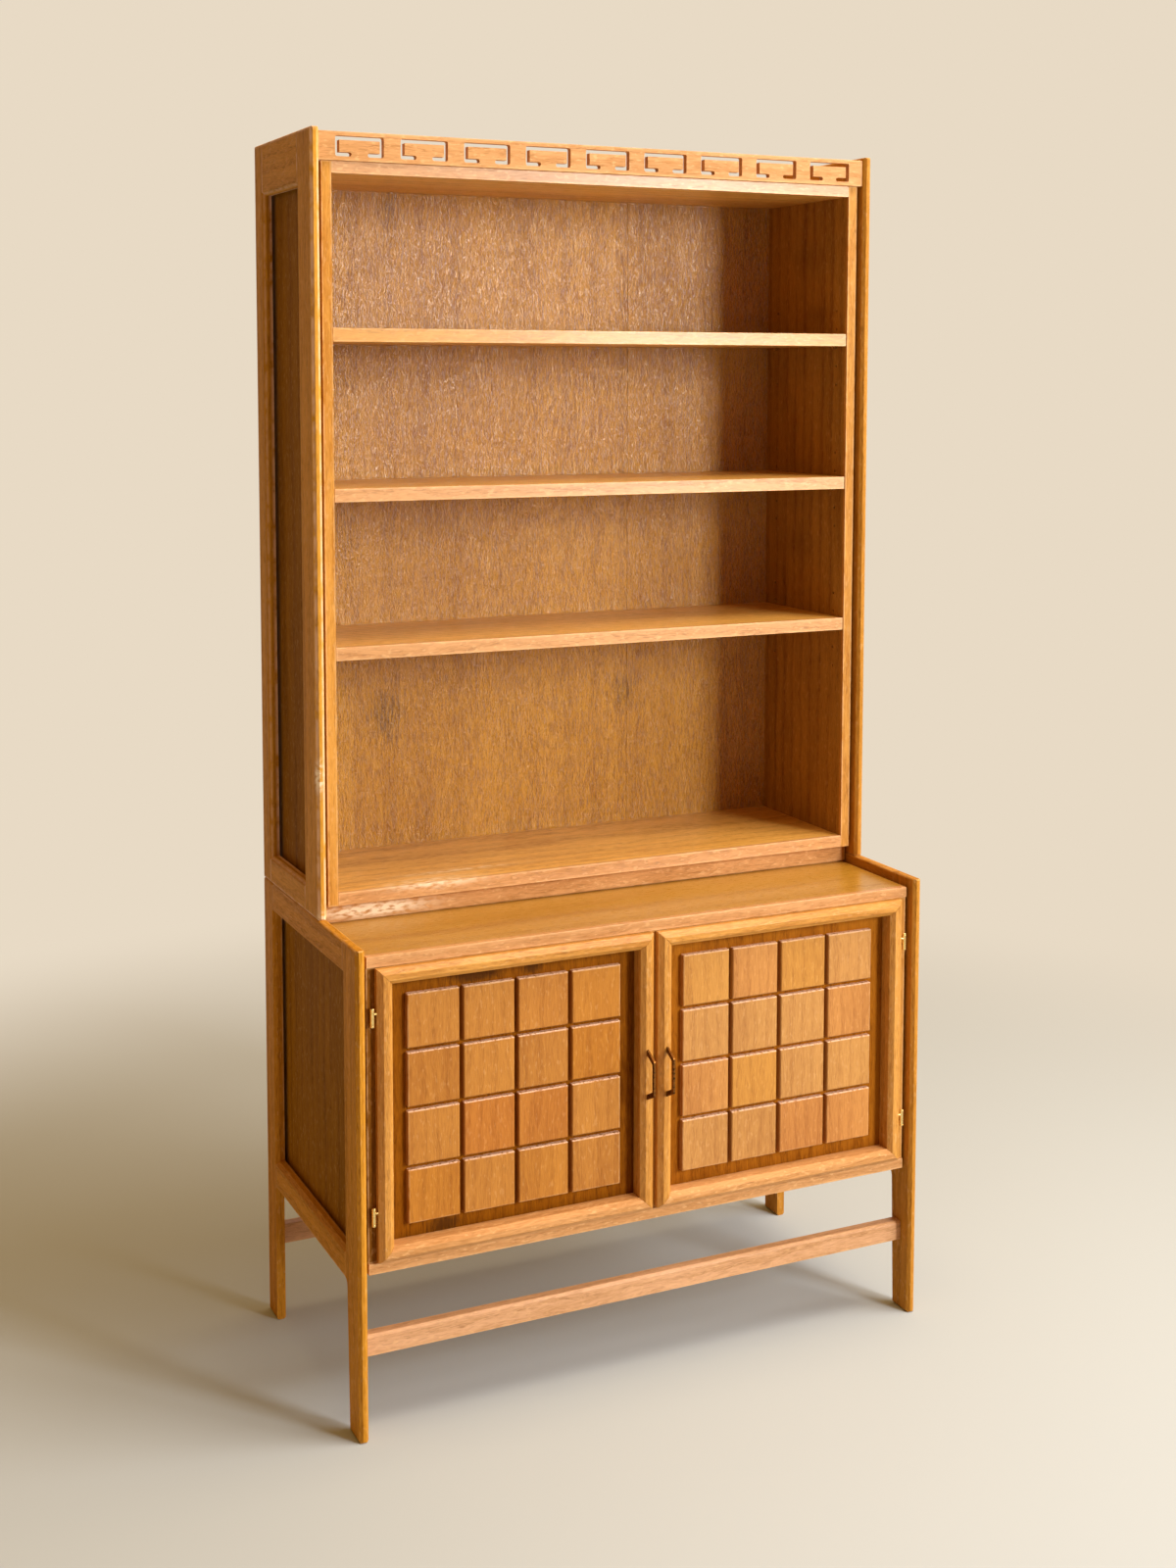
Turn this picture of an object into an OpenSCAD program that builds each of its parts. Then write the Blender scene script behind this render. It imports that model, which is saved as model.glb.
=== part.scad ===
// Bookshelf cabinet: an open three-shelf upper unit standing on a deeper two-door base.
// Open side frames stand clear of both cases. The base has rebated doors with raised square
// tiles on drill-in hinges, and a fret-cut key frieze closes the top of the upper unit.
// Units are millimetres. +Z is up, the front faces -Y, and the origin is on the floor under
// the middle of the bounding box. Sizes named _d are distances in front of the back plane.

/* [Overall] */
// Width over the side frames
cabinet_w = 1000; // [860:1:1250]
// Height to the top of the upper side frames
cabinet_h = 1975; // [1850:1:2200]
// Height of the base side frames
base_h = 758; // [680:1:840]
// Depth of the base over its side frames
base_d = 486; // [430:1:560]
// Depth of the upper unit over its side frames
upper_d = 305; // [250:1:360]

/* [Side frames] */
// Thickness of the frame members
frame_t = 15; // [12:0.5:20]
// Radius along the top edges of the frames
frame_edge_r = 3.5; // [1:0.5:5]
// Chamfer down the front and back edges of the frames
frame_bevel = 5; // [1:0.5:5.5]
// Radius of the back corners in side view
back_corner_r = 8; // [4:0.5:14]
// Radius of the front corners in side view
front_corner_r = 3; // [1:0.5:6]
// Radius around the bottom of the feet
foot_r = 5; // [2:0.5:5.5]
// Width of the mitred chamfer around each frame opening
frame_chamfer = 6; // [2:0.5:9]
// Air gap between a side frame and the case beside it
frame_gap = 6; // [4:0.5:10]
// Face width of the upper front stiles
upper_front_stile_w = 64; // [40:1:90]
// Face width of the upper back stiles
upper_back_stile_w = 42; // [30:1:80]
// Face height of the upper top rails
upper_top_rail_h = 77; // [65:1:110]
// Face height of the upper bottom rails
upper_bottom_rail_h = 39; // [32:1:80]
// Face width of the base front stiles
base_front_stile_w = 59; // [55:1:80]
// Face width of the base back stiles and back legs
back_leg_w = 50; // [40:1:70]
// Face height of the base top rails
base_top_rail_h = 45; // [36:1:80]
// Face height of the base bottom rails
base_bottom_rail_h = 37.5; // [30:0.5:60]
// Clear height under the base bottom rails
leg_clear_h = 236.5; // [190:0.5:260]
// Width of the front leg where it meets the bottom rail
front_leg_top_w = 54; // [50:1:58]
// Width of the front leg at the floor
front_leg_foot_w = 46; // [36:1:49]
// Thickness of the rail tenons
tenon_t = 5; // [3:0.5:8]
// Length of the rail tenons
tenon_l = 22; // [12:1:30]

/* [Case] */
// Thickness of the case sides
side_t = 16.5; // [13:0.5:20]
// Thickness of the base top and bottom boards
base_board_t = 17; // [14:0.5:22]
// Rise of the base side frames above the top board
frame_rise = 15; // [8:0.5:24]
// Height of the base bottom board's top face above the floor
base_floor_z = 271; // [262:0.5:290]
// Distance of the base face frame behind the front of the legs
face_setback = 17; // [12:0.5:24]
// Nosing of the base boards in front of the face frame
board_nosing = 3; // [1:0.5:6]
// Thickness of the face frame
face_t = 22; // [16:0.5:28]
// Thickness of the back panels
back_t = 6; // [4:0.5:9]
// Inset of the back panels from the back plane
back_inset = 18; // [8:0.5:30]
// Depth of the grooves that hold the back panels
groove_deep = 6; // [3:0.5:8]
// Thickness of the partition between the two cupboards
partition_t = 16; // [15:0.5:22]
// Height of the stretchers
stretcher_h = 33; // [24:1:45]
// Thickness of the stretchers
stretcher_t = 19.5; // [14:0.5:24]
// Height of the stretchers above the floor
stretcher_z = 122; // [60:1:140]
// Distance of the front stretcher behind the front of the legs
stretcher_setback = 25; // [12:0.5:26]
// Chamfer along the top front edge of the front stretcher
stretcher_chamfer = 4; // [1:0.5:8]

/* [Upper unit] */
// Distance of the upper case behind the front of its side frames
upper_setback = 13; // [8:0.5:20]
// Distance of the case top below the top of the side frames
case_drop = 48.5; // [38:0.5:60]
// Thickness of the top board
top_board_t = 18.5; // [14:0.5:24]
// Thickness of the bottom board
bottom_board_t = 20; // [14:0.5:26]
// Height of the plinth under the upper case
plinth_h = 31.5; // [24:0.5:45]
// Thickness of the plinth rails
plinth_t = 18; // [14:0.5:24]
// Distance of the plinth rail behind the case front
plinth_setback = 17; // [5:0.5:30]
// Chamfer along the lower front edge of the plinth rail
plinth_chamfer = 2; // [0.5:0.25:4]
// Distance right of the middle of the seam between the two boards of the back panel
back_seam_x = 173; // [20:1:300]
// Clear height under the lowest shelf
lower_clear_h = 366; // [300:0.5:400]
// Clear height under each of the other shelves
middle_clear_h = 225.5; // [190:0.5:250]
// Thickness of the shelves
shelf_t = 21; // [16:0.5:26]
// Distance of the shelf fronts behind the case front
shelf_setback = 1.5; // [0:0.5:6]
// Gap at each end of a shelf
shelf_gap = 0.8; // [0.4:0.1:0.9]

/* [Shelf pins] */
// Diameter of the shelf pin holes
pin_hole_dia = 5; // [4:0.1:7]
// Depth of the shelf pin holes
pin_hole_deep = 7; // [5:0.5:7]
// Diametral clearance of a pin in its hole
pin_clearance = 0.1; // [0.05:0.05:0.3]
// Length of a pin outside its hole
pin_out = 8; // [6:0.5:12]
// Vertical pitch of the pin holes
pin_pitch = 32; // [20:1:40]
// Spare holes above and below each shelf pin
spare_rows = 2; // [1:1:2]
// Distance of the front hole column behind the case front
front_column = 34; // [20:1:60]
// Distance of the back hole column in front of the back panel
back_column = 36; // [20:1:60]

/* [Frieze] */
// Thickness of the frieze board
frieze_t = 11; // [8:0.5:16]
// Distance of the frieze face behind the front of the side frames
frieze_setback = 6.5; // [2:0.5:10]
// Distance of the frieze top below the top of the side frames
frieze_drop = 5; // [1:0.5:12]
// Pitch of the key motifs
key_pitch = 104.8; // [90:0.1:130]
// Width of one key motif
key_w = 77.4; // [60:0.1:84]
// Height of one key motif
key_h = 30.7; // [22:0.1:32]
// Width of the sawn slots
key_slot = 6.2; // [3:0.1:7]
// Length of the two hooks at the bottom of a motif
key_hook = 25.5; // [16:0.5:28]

/* [Doors] */
// Gap between the two closed doors
door_gap = 7.6; // [2:0.2:10]
// Gap above and below the doors
door_end_gap = 1.5; // [1:0.25:4]
// Face width of the door frame members
door_frame_w = 24; // [22:0.5:32]
// Depth of the door frame from its face to the back of its tongue
door_depth = 34.5; // [30:0.5:40]
// Depth of the overlapping lip from the door face
lip_back = 17.5; // [15:0.5:20]
// Width of the overlapping lip
lip_w = 13; // [10:0.5:14]
// Gap between the lip and the face frame
lip_gap = 0.5; // [0.3:0.1:0.9]
// Gap between the tongue and the face frame
tongue_gap = 2.5; // [2:0.25:4]
// Chamfer along the outer edges of a door
outer_chamfer = 8; // [3:0.5:8]
// Chamfer along the inner edges of a door frame
inner_chamfer = 7; // [3:0.5:8]
// Thickness of the door panels
panel_t = 4.5; // [3:0.5:8]
// Overlap of the frame over the panel edges
panel_rebate = 5; // [3:0.5:7]
// Gap around a panel in its rebate
panel_gap = 0.5; // [0.2:0.1:0.9]

/* [Tiles] */
// Side length of the raised tiles
tile_w = 84; // [60:1:120]
// Thickness of the tiles
tile_t = 10; // [5:0.5:14]
// Gap between the tiles
tile_gap = 7; // [3:0.5:12]
// Chamfer along the front edges of a tile
tile_chamfer = 1.5; // [0.5:0.25:3]
// Least margin between the tiles and the door frame
tile_margin = 20; // [12:1:22]

/* [Hinges and catches] */
// Diameter of the hinge barrels
barrel_dia = 7; // [6:0.25:8]
// Length of a closed hinge barrel
barrel_l = 29; // [24:1:40]
// Distance of the hinge axis inside the case side
hinge_inset = 7; // [5.5:0.5:8]
// Distance from the hinge axis to the door edge
hinge_to_door = 6.5; // [5:0.25:8]
// Distance of the hinge axis behind the door face
hinge_behind = 10; // [10:0.25:11]
// Distance of each hinge from the end of the door
hinge_end = 73; // [50:1:100]
// Diameter of the hinge pin
hinge_pin_dia = 4; // [3:0.25:4.5]
// Diametral clearance of the hinge pin in its bore
hinge_clearance = 0.1; // [0.06:0.02:0.18]
// Length of the hinge pin above the lower barrel
hinge_pin_l = 10; // [6:0.5:10.5]
// Diameter of the drill-in stems
stem_dia = 3.8; // [3:0.1:4]
// Length of the stems inside the wood
stem_grip = 15; // [8:0.5:18]
// Width of a magnetic catch
catch_w = 40; // [28:1:50]
// Distance from the door's meeting edge to the middle of its catch
catch_inset = 60; // [50:1:120]
// Height of the catch face and its strike plate below the face rail
catch_h = 14; // [8:0.5:18]
// Thickness of the strike plates
strike_t = 1.2; // [0.8:0.1:2]

/* [Handles] */
// Thickness of the handle plates
handle_t = 3.2; // [2:0.1:5]
// Distance between the middles of a handle's feet
handle_pitch = 73; // [60:1:120]
// Height of a handle's foot where it meets the wood
handle_foot = 8.5; // [6:0.5:12]
// Reach of a handle in front of the door
handle_reach = 24; // [18:0.5:34]
// Outer length of the straight grip
handle_grip_l = 56.5; // [44:0.5:58]
// Thickness of the grip seen from the side
handle_grip_t = 5.5; // [4:0.25:7]
// Radius of the outer bends
handle_bend_r = 3; // [1:0.25:5]
// Distance from the door's meeting edge to the handle
handle_inset = 13.7; // [11:0.1:15]

/* [Hidden] */
$fn = 48;
bore_eps = 1;

// Plan positions
overall_d = max(base_d - face_setback + lip_gap + lip_back, base_d) + handle_reach;
half_w = cabinet_w / 2;
frame_in_x = half_w - frame_t;
case_half_w = frame_in_x - frame_gap;
case_in_x = case_half_w - side_t;
panel_front_d = back_inset + back_t;
panel_reach = case_in_x + groove_deep;

// Base levels and depths
base_face_d = base_d - face_setback;
face_back_d = base_face_d - face_t;
base_top_z = base_h - frame_rise;
base_ceiling_z = base_top_z - base_board_t;
base_mid_z = (base_floor_z + base_ceiling_z) / 2;
base_board_d = base_face_d + board_nosing;
base_arris_w = base_front_stile_w + frame_chamfer;
back_arris_w = back_leg_w + frame_chamfer;

// Upper levels and depths
upper_case_d = upper_d - upper_setback;
upper_case_z = base_top_z + plinth_h;
upper_floor_z = upper_case_z + bottom_board_t;
upper_top_z = cabinet_h - case_drop;
upper_ceiling_z = upper_top_z - top_board_t;
shelf_count = 3;
function shelf_z(i) = upper_floor_z + lower_clear_h + i * (shelf_t + middle_clear_h);

// Shelf pins
pin_r = (pin_hole_dia - pin_clearance) / 2;
pin_l = pin_hole_deep + pin_out;
upper_columns = [upper_case_d - front_column, panel_front_d + back_column];
base_columns = [face_back_d - front_column, panel_front_d + back_column];
base_shelf_t = shelf_t - 3;
base_shelf_z = base_mid_z - base_shelf_t;
base_shelf_d = face_back_d - 12;

// Doors
door_front_d = base_face_d + lip_gap + lip_back;
hinge_x = case_half_w - hinge_inset;
hinge_d = door_front_d - hinge_behind;
door_out_x = hinge_x - hinge_to_door;
door_in_x = door_gap / 2;
door_w = door_out_x - door_in_x;
door_z = base_floor_z + door_end_gap;
door_h = base_ceiling_z - base_floor_z - 2 * door_end_gap;
rebate_back = door_depth - panel_t;
door_opening_w = door_w - 2 * door_frame_w;
door_opening_h = door_h - 2 * door_frame_w;
face_stile_in_x = door_out_x - lip_w + tongue_gap;
post_half_w = door_in_x + lip_w - tongue_gap;
face_rail_h = door_end_gap + lip_w - tongue_gap;
tile_step = tile_w + tile_gap;
tile_columns = floor((door_opening_w - 2 * tile_margin + tile_gap) / tile_step);
tile_rows = floor((door_opening_h - 2 * tile_margin + tile_gap) / tile_step);
hinge_levels = [door_z + hinge_end, door_z + door_h - hinge_end];
barrel_r = barrel_dia / 2;
half_barrel = barrel_l / 2;
stem_offset = half_barrel * 0.38;
stem_r = stem_dia / 2;
stem_hole_r = stem_r + 0.05;

// Placing

// Moves a piece from the back plane to the middle of the footprint
module seated() {
    translate([0, overall_d / 2, 0]) children();
}

// Mirrors a piece drawn for the right-hand side when the left one is wanted
module on_side(side) {
    seated() if (side == "left") mirror([1, 0, 0]) children(); else children();
}

// A board between two widths, two depths in front of the back plane and two heights
module block(x, d, z) {
    translate([x[0], -d[1], z[0]]) cube([x[1] - x[0], d[1] - d[0], z[1] - z[0]]);
}

// Extrudes a profile seen from the side, drawn as depth and height, across a width
module across(x) {
    translate([x[1], 0, 0]) rotate([90, 0, -90]) linear_extrude(x[1] - x[0]) children();
}

// Extrudes a profile seen from the front, drawn as width and height, through a depth
module through(d) {
    translate([0, -d[0], 0]) rotate([90, 0, 0]) linear_extrude(d[1] - d[0]) children();
}

// Extrudes a profile seen from above, drawn as width and depth, up a height
module upright(z) {
    translate([0, 0, z[0]]) mirror([0, 1, 0]) linear_extrude(z[1] - z[0]) children();
}

// Profiles

// What a round corner takes away from a square one
module corner_waste(r) {
    difference() {
        square(r);
        translate([r, r]) circle(r);
    }
}

// A rectangle whose corners are rounded: lower left, lower right, upper right, upper left
module soft_rectangle(lo, hi, r) {
    difference() {
        translate(lo) square(hi - lo);
        translate(lo) corner_waste(r[0]);
        translate([hi[0], lo[1]]) rotate(90) corner_waste(r[1]);
        translate(hi) rotate(180) corner_waste(r[2]);
        translate([lo[0], hi[1]]) rotate(270) corner_waste(r[3]);
    }
}

// Side frames

// The section of a side frame from above, with its four long edges chamfered
module frame_section(depth) {
    translate([frame_in_x, 0]) polygon([[frame_bevel, 0], [frame_t - frame_bevel, 0],
        [frame_t, frame_bevel], [frame_t, depth - frame_bevel],
        [frame_t - frame_bevel, depth], [frame_bevel, depth],
        [0, depth - frame_bevel], [0, frame_bevel]]);
}

// The outer form of a side frame, rounded at the top and with its own radius at the bottom
module frame_blank(depth, z, low_r) {
    intersection() {
        across([frame_in_x, half_w])
            soft_rectangle([0, z[0]], [depth, z[1]],
                [back_corner_r, low_r, front_corner_r, back_corner_r]);
        upright(z) frame_section(depth);
        through([0, depth]) soft_rectangle([frame_in_x, z[0]], [half_w, z[1]],
            [low_r, low_r, frame_edge_r, frame_edge_r]);
    }
}

// The opening of a side frame, flared to the outer face by a chamfer with mitred corners
module frame_opening(d, z) {
    block([frame_in_x - bore_eps, half_w], d, z);
    depth_of_cut = frame_chamfer + bore_eps;
    intersection() {
        upright([z[0] - depth_of_cut, z[1] + depth_of_cut]) polygon([
            [half_w - frame_chamfer, d[0]],
            [half_w + bore_eps, d[0] - depth_of_cut],
            [half_w + bore_eps, d[1] + depth_of_cut],
            [half_w - frame_chamfer, d[1]]]);
        through([d[0] - depth_of_cut, d[1] + depth_of_cut]) polygon([
            [half_w - frame_chamfer, z[0]],
            [half_w + bore_eps, z[0] - depth_of_cut],
            [half_w + bore_eps, z[1] + depth_of_cut],
            [half_w - frame_chamfer, z[1]]]);
    }
}

// The stub tenon of a rail, centred in the thickness of the frame
module tenon(d, z) {
    middle = half_w - frame_t / 2;
    block([middle - tenon_t / 2, middle + tenon_t / 2], d, z);
}

// How far a tenon is drawn into its own rail, so that both are one piece
tenon_root = 3;

// The two tenons of a rail that runs from one stile to the other
module rail_tenons(d, z) {
    tenon([d[0] - tenon_l, d[0] + tenon_root], z);
    tenon([d[1] - tenon_root, d[1] + tenon_l], z);
}

// The space between the legs: the front leg tapers, and both meet the rail in a fillet
module leg_space() {
    front_top = base_d - front_leg_top_w;
    front_foot = base_d - front_leg_foot_w;
    front_fillet = base_arris_w - front_leg_top_w;
    back_fillet = back_arris_w - back_leg_w;
    across([frame_in_x - bore_eps, half_w + bore_eps]) difference() {
        polygon([[back_leg_w, -bore_eps], [back_leg_w, leg_clear_h], [front_top, leg_clear_h],
            [front_foot, 0], [front_foot, -bore_eps]]);
        translate([back_leg_w, leg_clear_h]) rotate(270) corner_waste(back_fillet);
        translate([front_top, leg_clear_h]) rotate(180) corner_waste(front_fillet);
    }
}

base_open_d = [back_arris_w, base_d - base_arris_w];
base_open_z = [leg_clear_h + base_bottom_rail_h + frame_chamfer,
    base_h - base_top_rail_h - frame_chamfer];
upper_open_d = [upper_back_stile_w + frame_chamfer, upper_d - upper_front_stile_w - frame_chamfer];
upper_open_z = [base_h + upper_bottom_rail_h + frame_chamfer,
    cabinet_h - upper_top_rail_h - frame_chamfer];

// The heights of the tenons, with a shoulder above and below each
shoulder = 8;
base_top_tenon_z = [base_open_z[1] + shoulder, base_h - shoulder];
base_bottom_tenon_z = [leg_clear_h + shoulder, base_open_z[0] - shoulder];
upper_top_tenon_z = [upper_open_z[1] + shoulder, cabinet_h - shoulder];
upper_bottom_tenon_z = [base_h + shoulder, upper_open_z[0] - shoulder];

// The base side frame as one piece, before it is divided into legs and rails
module base_frame() {
    difference() {
        frame_blank(base_d, [0, base_h], foot_r);
        frame_opening(base_open_d, base_open_z);
        leg_space();
    }
}

// The upper side frame as one piece, before it is divided into stiles and rails
module upper_frame() {
    difference() {
        frame_blank(upper_d, [base_h, cabinet_h], front_corner_r);
        frame_opening(upper_open_d, upper_open_z);
    }
}

wide_x = [frame_in_x - bore_eps, half_w + bore_eps];

module base_leg(d) {
    difference() {
        intersection() {
            base_frame();
            block(wide_x, d, [-bore_eps, base_h + bore_eps]);
        }
        rail_tenons(base_open_d, base_top_tenon_z);
        rail_tenons(base_open_d, base_bottom_tenon_z);
        stretcher_tenons();
    }
}

module base_front_leg(side) {
    on_side(side) color("#CF944F") base_leg([base_open_d[1], base_d + bore_eps]);
}

module base_back_leg(side) {
    on_side(side) color("#B57A3A") base_leg([-bore_eps, base_open_d[0]]);
}

module base_rail(z, tenon_z) {
    intersection() {
        base_frame();
        block(wide_x, base_open_d, z);
    }
    rail_tenons(base_open_d, tenon_z);
}

module base_top_rail(side) {
    on_side(side) color("#C58A46") base_rail([base_open_z[1], base_h + bore_eps], base_top_tenon_z);
}

module base_bottom_rail(side) {
    on_side(side) color("#BE8340") base_rail([leg_clear_h, base_open_z[0]], base_bottom_tenon_z);
}

module upper_stile(d) {
    difference() {
        intersection() {
            upper_frame();
            block(wide_x, d, [base_h, cabinet_h]);
        }
        rail_tenons(upper_open_d, upper_top_tenon_z);
        rail_tenons(upper_open_d, upper_bottom_tenon_z);
    }
}

module upper_front_stile(side) {
    on_side(side) color("#D59A55") upper_stile([upper_open_d[1], upper_d + bore_eps]);
}

module upper_back_stile(side) {
    on_side(side) color("#B98040") upper_stile([-bore_eps, upper_open_d[0]]);
}

module upper_rail(z, tenon_z) {
    intersection() {
        upper_frame();
        block(wide_x, upper_open_d, z);
    }
    rail_tenons(upper_open_d, tenon_z);
}

module upper_top_rail(side) {
    on_side(side) color("#CC914C") upper_rail([upper_open_z[1], cabinet_h], upper_top_tenon_z);
}

module upper_bottom_rail(side) {
    on_side(side) color("#C68B46") upper_rail([base_h, upper_open_z[0]], upper_bottom_tenon_z);
}

// Spacers hidden between the rails and the cases hold the frames off by the air gap
spacer_shy = 14;
spacer_h = 15;
spacer_levels = [
    [base_open_z[0] - shoulder - spacer_h, base_face_d],
    [base_open_z[1] + shoulder / 2, base_face_d],
    [upper_case_z + shoulder / 2, upper_case_d],
    [upper_top_z - shoulder / 2 - spacer_h, upper_case_d]
];

module frame_spacers() {
    seated() color("#9A6A38") for (turn = [0, 1], level = spacer_levels) mirror([turn, 0, 0])
        block([case_half_w, frame_in_x], [spacer_shy, level[1] - spacer_shy],
            [level[0], level[0] + spacer_h]);
}

// Stretchers

stretcher_tenon_l = 8;
stretcher_shoulder = 5;
front_stretcher_d = base_d - stretcher_setback - stretcher_t;
back_stretcher_d = 8;

// The tenons of both stretchers in the right-hand legs
module stretcher_tenons() {
    for (d = [front_stretcher_d, back_stretcher_d])
        block([frame_in_x, frame_in_x + stretcher_tenon_l],
            [d + stretcher_shoulder, d + stretcher_t - stretcher_shoulder],
            [stretcher_z + stretcher_shoulder, stretcher_z + stretcher_h - stretcher_shoulder]);
}

// A stretcher between the legs, whose profile starts at its back lower corner
module stretcher(d, chamfer) {
    across([-frame_in_x, frame_in_x]) translate([d, stretcher_z]) polygon([[0, 0], [stretcher_t, 0],
        [stretcher_t, stretcher_h - chamfer], [stretcher_t - chamfer, stretcher_h], [0, stretcher_h]]);
    for (turn = [0, 1]) mirror([turn, 0, 0])
        block([frame_in_x, frame_in_x + stretcher_tenon_l],
            [d + stretcher_shoulder, d + stretcher_t - stretcher_shoulder],
            [stretcher_z + stretcher_shoulder, stretcher_z + stretcher_h - stretcher_shoulder]);
}

module front_stretcher() {
    seated() color("#D79C58") stretcher(front_stretcher_d, stretcher_chamfer);
}

module back_stretcher() {
    seated() color("#B57C3C") stretcher(back_stretcher_d, stretcher_chamfer / 4);
}

// Shelf pins and their holes

// One blind hole drilled outward from x along +X
module pin_hole(x, d, z) {
    translate([x - bore_eps, -d, z]) rotate([0, 90, 0])
        cylinder(h = pin_hole_deep + bore_eps, d = pin_hole_dia);
}

// One pin seated in such a hole
module pin(x, d, z) {
    translate([x - pin_out, -d, z]) rotate([0, 90, 0]) cylinder(h = pin_l, r = pin_r);
}

function pin_z(underside) = underside - pin_r;

// The holes around one shelf: one in use, with spare ones above and below
module hole_group(x, columns, underside) {
    for (d = columns, row = [-spare_rows : spare_rows])
        pin_hole(x, d, pin_z(underside) + row * pin_pitch);
}

module shelf_pins() {
    seated() color("#C9A25A") for (turn = [0, 1]) mirror([turn, 0, 0]) {
        for (i = [0 : shelf_count - 1], d = upper_columns) pin(case_in_x, d, pin_z(shelf_z(i)));
        for (d = base_columns) {
            pin(case_in_x, d, pin_z(base_shelf_z));
            mirror([1, 0, 0]) pin(-partition_t / 2, d, pin_z(base_shelf_z));
        }
    }
}

// Base case

// The groove in a case side that holds the edge of a back panel
module back_groove(z) {
    block([case_in_x - bore_eps, panel_reach], [back_inset, panel_front_d],
        [z[0] - groove_deep, z[1] + groove_deep]);
}

// A back panel between a floor and a ceiling, with its edges in the grooves all round
module back_board(x, z) {
    block(x, [back_inset, panel_front_d], [z[0] - groove_deep, z[1] + groove_deep]);
}

module base_side(side) {
    z = [base_floor_z, base_ceiling_z];
    on_side(side) color("#A8713A") difference() {
        block([case_in_x, case_half_w], [0, face_back_d], z);
        back_groove(z);
        hole_group(case_in_x, base_columns, base_shelf_z);
    }
}

module base_face_stile(side) {
    on_side(side) color("#CB9050") difference() {
        block([face_stile_in_x, case_half_w], [face_back_d, base_face_d], [base_floor_z, base_ceiling_z]);
        for (z = hinge_levels) case_stem_hole(z);
    }
}

module base_centre_post() {
    seated() color("#C58A48")
        block([-post_half_w, post_half_w], [face_back_d, base_face_d], [base_floor_z, base_ceiling_z]);
}

// The narrow rails above and below the doorways, cut between the stiles and the post
module base_face_rails() {
    seated() color("#C28846")
        for (turn = [0, 1], z = [base_floor_z, base_ceiling_z - face_rail_h]) mirror([turn, 0, 0])
            block([post_half_w, face_stile_in_x], [face_back_d, base_face_d], [z, z + face_rail_h]);
}

// A board of the base case, grooved for the back panel on the face turned to the cupboards
module base_board(z) {
    difference() {
        block([-case_half_w, case_half_w], [0, base_board_d], z);
        back_board([-panel_reach, panel_reach], [base_floor_z, base_ceiling_z]);
    }
}

module base_top_board() {
    seated() color("#C4883F") base_board([base_ceiling_z, base_top_z]);
}

module base_bottom_board() {
    seated() color("#BC813C") base_board([base_floor_z - base_board_t, base_floor_z]);
}

module base_partition() {
    seated() color("#A8713A") difference() {
        block([-partition_t / 2, partition_t / 2], [panel_front_d, face_back_d],
            [base_floor_z, base_ceiling_z]);
        for (turn = [0, 1]) mirror([turn, 0, 0])
            hole_group(-partition_t / 2, base_columns, base_shelf_z);
    }
}

module base_back_panel() {
    seated() color("#A8743C") back_board([-panel_reach, panel_reach], [base_floor_z, base_ceiling_z]);
}

module base_shelves() {
    seated() color("#B37B40") for (turn = [0, 1]) mirror([turn, 0, 0])
        block([partition_t / 2 + shelf_gap, case_in_x - shelf_gap], [panel_front_d + shelf_gap, base_shelf_d],
            [base_shelf_z, base_shelf_z + base_shelf_t]);
}

// Upper case

module upper_side(side) {
    on_side(side) color("#9C672F") difference() {
        block([case_in_x, case_half_w], [0, upper_case_d], [upper_case_z, upper_top_z]);
        back_groove([upper_floor_z, upper_ceiling_z]);
        for (i = [0 : shelf_count - 1]) hole_group(case_in_x, upper_columns, shelf_z(i));
    }
}

// A board of the upper case, grooved for the back panel on the face turned to the shelves
module upper_board(z) {
    difference() {
        block([-case_in_x, case_in_x], [0, upper_case_d], z);
        back_board([-case_in_x - bore_eps, case_in_x + bore_eps], [upper_floor_z, upper_ceiling_z]);
    }
}

module upper_top_board() {
    seated() color("#C98E4A") upper_board([upper_ceiling_z, upper_top_z]);
}

module upper_bottom_board() {
    seated() color("#CE9450") upper_board([upper_case_z, upper_floor_z]);
}

// Two boards side by side with an open hairline joint between them
module upper_back_panel() {
    joint = 0.4;
    seated() color("#A8763F") {
        back_board([-panel_reach, back_seam_x - joint / 2], [upper_floor_z, upper_ceiling_z]);
        back_board([back_seam_x + joint / 2, panel_reach], [upper_floor_z, upper_ceiling_z]);
    }
}

module shelf(i) {
    seated() color("#CF9652")
        block([-case_in_x + shelf_gap, case_in_x - shelf_gap],
            [panel_front_d + shelf_gap, upper_case_d - shelf_setback], [shelf_z(i), shelf_z(i) + shelf_t]);
}

// The plinth is a frame of four rails. Its front rail runs close to the side frames
plinth_end_gap = 3;
plinth_back_d = 12;

module upper_plinth() {
    z = [base_top_z, upper_case_z];
    front = upper_case_d - plinth_setback;
    long_x = frame_in_x - plinth_end_gap;
    seated() color("#D39A5A") {
        across([-long_x, long_x]) polygon([[front - plinth_t, z[0]], [front - plinth_chamfer, z[0]],
            [front, z[0] + plinth_chamfer], [front, z[1]], [front - plinth_t, z[1]]]);
        block([-case_half_w, case_half_w], [plinth_back_d, plinth_back_d + plinth_t], z);
        for (turn = [0, 1]) mirror([turn, 0, 0])
            block([case_half_w - plinth_t, case_half_w], [plinth_back_d + plinth_t, front - plinth_t], z);
    }
}

// Frieze

// A slot with round ends between two points
module saw_slot(a, b) {
    run = b - a;
    translate(a) circle(d = key_slot);
    translate(b) circle(d = key_slot);
    translate(a) rotate(atan2(run[1], run[0])) translate([0, -key_slot / 2])
        square([norm(run), key_slot]);
}

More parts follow.
